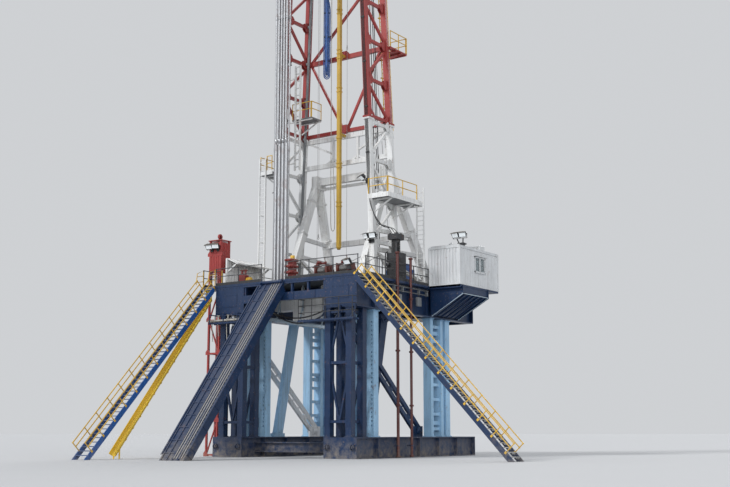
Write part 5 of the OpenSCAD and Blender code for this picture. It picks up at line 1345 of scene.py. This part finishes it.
# A-frames: pins, splices, foot lugs and stiffeners
s = Shape(MAST_X, 0, 0)
LUG = [(-0.16, 0), (0.16, 0), (0.10, 0.26), (-0.10, 0.26)]
for side in SIDES:
    apex = vec(side * 1.44, 1.27, 9.2)
    for y, z in ((-0.13, -0.1), (0.13, -0.1), (0, -0.2)):
        s.drum(apex + vec(side * -0.175, y, z), X * (side * 0.275), 0.055, 20)
        s.drum(apex + vec(side * -0.165, y, z), X * (side * 0.015), 0.095, 20)
    for foot, w in ((vec(side * 1.44, -0.35, 5.29), 0.112), (vec(side * 2.0, 2.97, 5.29), 0.127)):
        u, v, d = axes(apex - foot, X)
        for m in (foot.lerp(apex, t) for t in (0.15, 0.5, 0.8)):
            half = w + 0.022
            s.row(2, d * 0.044, s.block, m - d * 0.022, u * half, v * half, d * 0.014)
            for e, f in product(SIDES, (-0.6, 0, 0.6)):
                s.nut(m + u * (e * (w + 0.012)) + v * (f * w) + d * 0.036, d, 0.009, 0.012)
        for a in SIDES:
            s.plate(LUG, foot + vec(a * 0.135, 0, 0.02), Y, Z, 0.02)
            for b in SIDES:
                s.nut(foot + vec(a * 0.19, b * 0.19, 0.02), Z, 0.02, 0.028)
        s.drum(foot + vec(-0.165, 0, 0.16), X * 0.33, 0.04, 18)
    s.cube((side * 1.27, 1.27, 9.12), 0.016, 0.12, 0.15)
    for y in (1.165, 1.375):
        s.nuts((side * 1.254, y, 9.0), (side * 1.254, y, 9.24), 4, X * -side)
for x in (-0.9, -0.3, 0.3, 0.9):
    s.box((x - 0.01, 1.17, 9.0), (x + 0.01, 1.37, 9.24), 0.003)
s.build("a_frame_fittings", white, "white_steel")

# Crown: sheave pins, guards, eyes and toe boards
s = Shape(MAST_X, 0, CROWN_Z)
for side in SIDES:
    for x in (0.535, 0.585):
        s.drum((side * x, 0, 0.42), X * (side * 0.016), 0.1, 24)
    for y in (-0.4, 0.4):
        s.bar((side * 0.56, y, 0.1), (side * 0.56, y, 0.9), 0.04)
    s.bar((side * 0.56, -0.4, 0.9), (side * 0.56, 0.4, 0.9), 0.04)
    s.nuts((side * 1.07, -0.45, -0.15), (side * 1.07, 0.85, -0.15), 12, X * side)
s.row(5, Y * 0.2, s.rod, (-0.56, -0.4, 0.91), X * 1.12, 0.012)
for x, (y0, y1) in product((-0.9, -0.3, 0.3, 0.9), ((-0.595, -0.555), (0.815, 0.875))):
    s.box((x - 0.01, y0, -0.19), (x + 0.01, y1, -0.01), 0.003)
s.box((-1.49, -0.79, 0.03), (1.49, -0.78, 0.12), 0.003)
s.row(2, X * 2.95, s.box, (-1.48, -0.78, 0.03), (-1.47, 1.18, 0.12), 0.003)
s.ring((0, -0.06, 1.62), X, 0.05, 0.014, 18)
s.build("crown_fittings", red, "red_steel")

# Travelling block and drive: pins, guards, pipes, blower and elevator
s, drive = Shape(MAST_X, 0, BLOCK_Z), Shape(MAST_X, 0, BLOCK_Z)
for side in SIDES:
    s.drum((side * 0.40, 0, 0), X * (side * 0.03), 0.11, 24)
    for y, z in product((-0.2, 0.2), (-0.55, 0.2)):
        s.bolt((side * 0.40, y, z), X * side, 0.018, 0.02)
    s.plate([(-0.26, 0.28), (0.26, 0.28), (0.16, 0.44), (-0.16, 0.44)], (side * 0.375, 0, 0), Y, Z, 0.03)
    drive.ring((side * 0.2, 0, -3.5), X, 0.07, 0.02, 18)
for a in range(-60, 61, 20):
    turn = math.radians(a)
    s.rod((-0.39, 0.43 * math.sin(turn), 0.43 * math.cos(turn)), X * 0.78, 0.011, 6)
for z in (-1.0, -1.35, -1.7, -2.0):
    s.box((-0.312, -0.252, z), (0.312, -0.238, z + 0.04), 0.003)
drive.row(14, Z * 0.032, drive.box, (-0.2, -0.256, -1.62), (0.2, -0.242, -1.604), 0.002)
drive.drum((0.31, 0, -1.9), Z * 0.9, 0.085, 20)
drive.row(12, Z * 0.06, drive.ring, (0.31, 0, -1.8), Z, 0.088, 0.008, 20, 4)
for x in (-0.12, 0.12):
    route = [(x, -0.24, -0.9), (x, -0.36, -1.0), (x, -0.36, -1.9), (x * 0.6, -0.2, -2.2)]
    drive.tube(rounded(route, 4), 0.018)
drive.drum((0, 0, -2.56), Z * 0.12, 0.26, 28)
drive.lathe((0, 0, -3.62), Z, [(0, 0), (0.10, 0), (0.13, 0.04), (0.13, 0.15), (0.08, 0.2), (0, 0.2)], 24)
s.build("block_fittings", yellow, "yellow_steel")
drive.build("drive_fittings", dark, "grey_steel")

# Racking board, from its front edge: finger tips, latches, safety line and decking
s = Shape(MAST_X, -1.544, BOARD_Z)
for x0, i, k in product((-1.04, 0.48), range(5), range(5)):
    x, y = x0 + i * 0.13, 0.345 + k * 0.16
    s.box((x - 0.008, y - 0.03, 0.05), (x + 0.008, y + 0.055, 0.066), 0.002)
    s.drum((x, y, 0.05), Z * 0.04, 0.008, 8)
s.row(26, X * 0.104, s.box, (-1.31, 0.01, 0.06), (-1.29, 0.25, 0.068), 0.002)
for x in (-1.33, -0.67, 0.0, 0.67, 1.33):
    s.box((x - 0.011, 0.004, 0.06), (x + 0.011, 0.026, 0.61), 0.003)
s.row(2, Z * 0.26, s.rod, (-1.34, 0.015, 0.34), X * 2.68, 0.011)
s.box((-1.35, -0.004, 0), (1.35, 0.002, 0.13), 0.002)
s.build("racking_fittings", grey, "grey_steel")

# Racked pipe: pins and collars' lift plugs, and boards on the bare pad
PIN = [(0, 0), (0.028, 0), (0.020, 0.06), (0, 0.06)]
PLUG = [(0, 0), (0.035, 0), (0.035, 0.06), (0.05, 0.08), (0.05, 0.15), (0.03, 0.17), (0, 0.17)]
s = Shape()
for y in (-0.76, -0.92):
    s.row(5, X * 0.11, s.lathe, (-1.736, y, 18.9), Z, PIN, 14)
s.row(4, X * 0.14, s.lathe, (-1.418, -1.25, 9.90), Z, PLUG)
for z in (5.42, 7.4, 9.7):
    s.row(4, X * 0.14, s.ring, (-1.418, -1.25, z), Z, 0.05, 0.005, 18, 4)
s.build("rack_pins", pipe_steel, "bare_steel")
s = Shape()
s.row(9, X * 0.123, s.box, (0.51, -1.64, 5.30), (0.62, -0.61, 5.325))
s.build("setback_boards", planks, "brown_steel")

# Floor, backdrop and light
rim = circle(400.0, 96)
mesh = bpy.data.meshes.new("stage_floor")
mesh.from_pydata([(a, b, 0) for a, b in rim], [], [list(range(len(rim)))])
g = Graph("stage_floor")
g.set(Base_Color=g.mix(g.noise(0.6, 3), (0.575, 0.580, 0.588), (0.590, 0.596, 0.604)), Roughness=0.9)
mesh.materials.append(g.material)
stage = bpy.data.objects.new("stage_floor", mesh)
stage.location.z = -0.002
scene.collection.objects.link(stage)


def sun_light(name, place, power, width):
    """Even light from the side of place, as wide as a softbox that many degrees across."""
    data = bpy.data.lights.new(name, "SUN")
    data.energy = power
    data.angle = math.radians(width)
    obj = bpy.data.objects.new(name, data)
    obj.location = place
    obj.rotation_euler = (-Vector(place)).to_track_quat("-Z", "Y").to_euler()
    scene.collection.objects.link(obj)


sun_light("key_light", (-18, -40, 34), 1.75, 12)
sun_light("fill_light", (42, -20, 18), 0.5, 40)
sun_light("back_light", (-10, 44, 30), 0.7, 30)
sun_light("low_light", (13, -30, 3.5), 0.75, 30)

world = bpy.data.worlds.new("studio")
scene.world = world
world.use_nodes = True
backdrop = world.node_tree.nodes["Background"]
backdrop.inputs["Strength"].default_value = 1.0
g = Tree(world.node_tree)
rays = g.node("LightPath").outputs
seen = g.most(g.most(rays["Is Camera Ray"], rays["Is Glossy Ray"]), rays["Is Transmission Ray"])
g.put(backdrop.inputs["Color"], g.mix(seen, (0.46, 0.48, 0.51), (0.62, 0.635, 0.655)))
scene.view_settings.view_transform = "Standard"
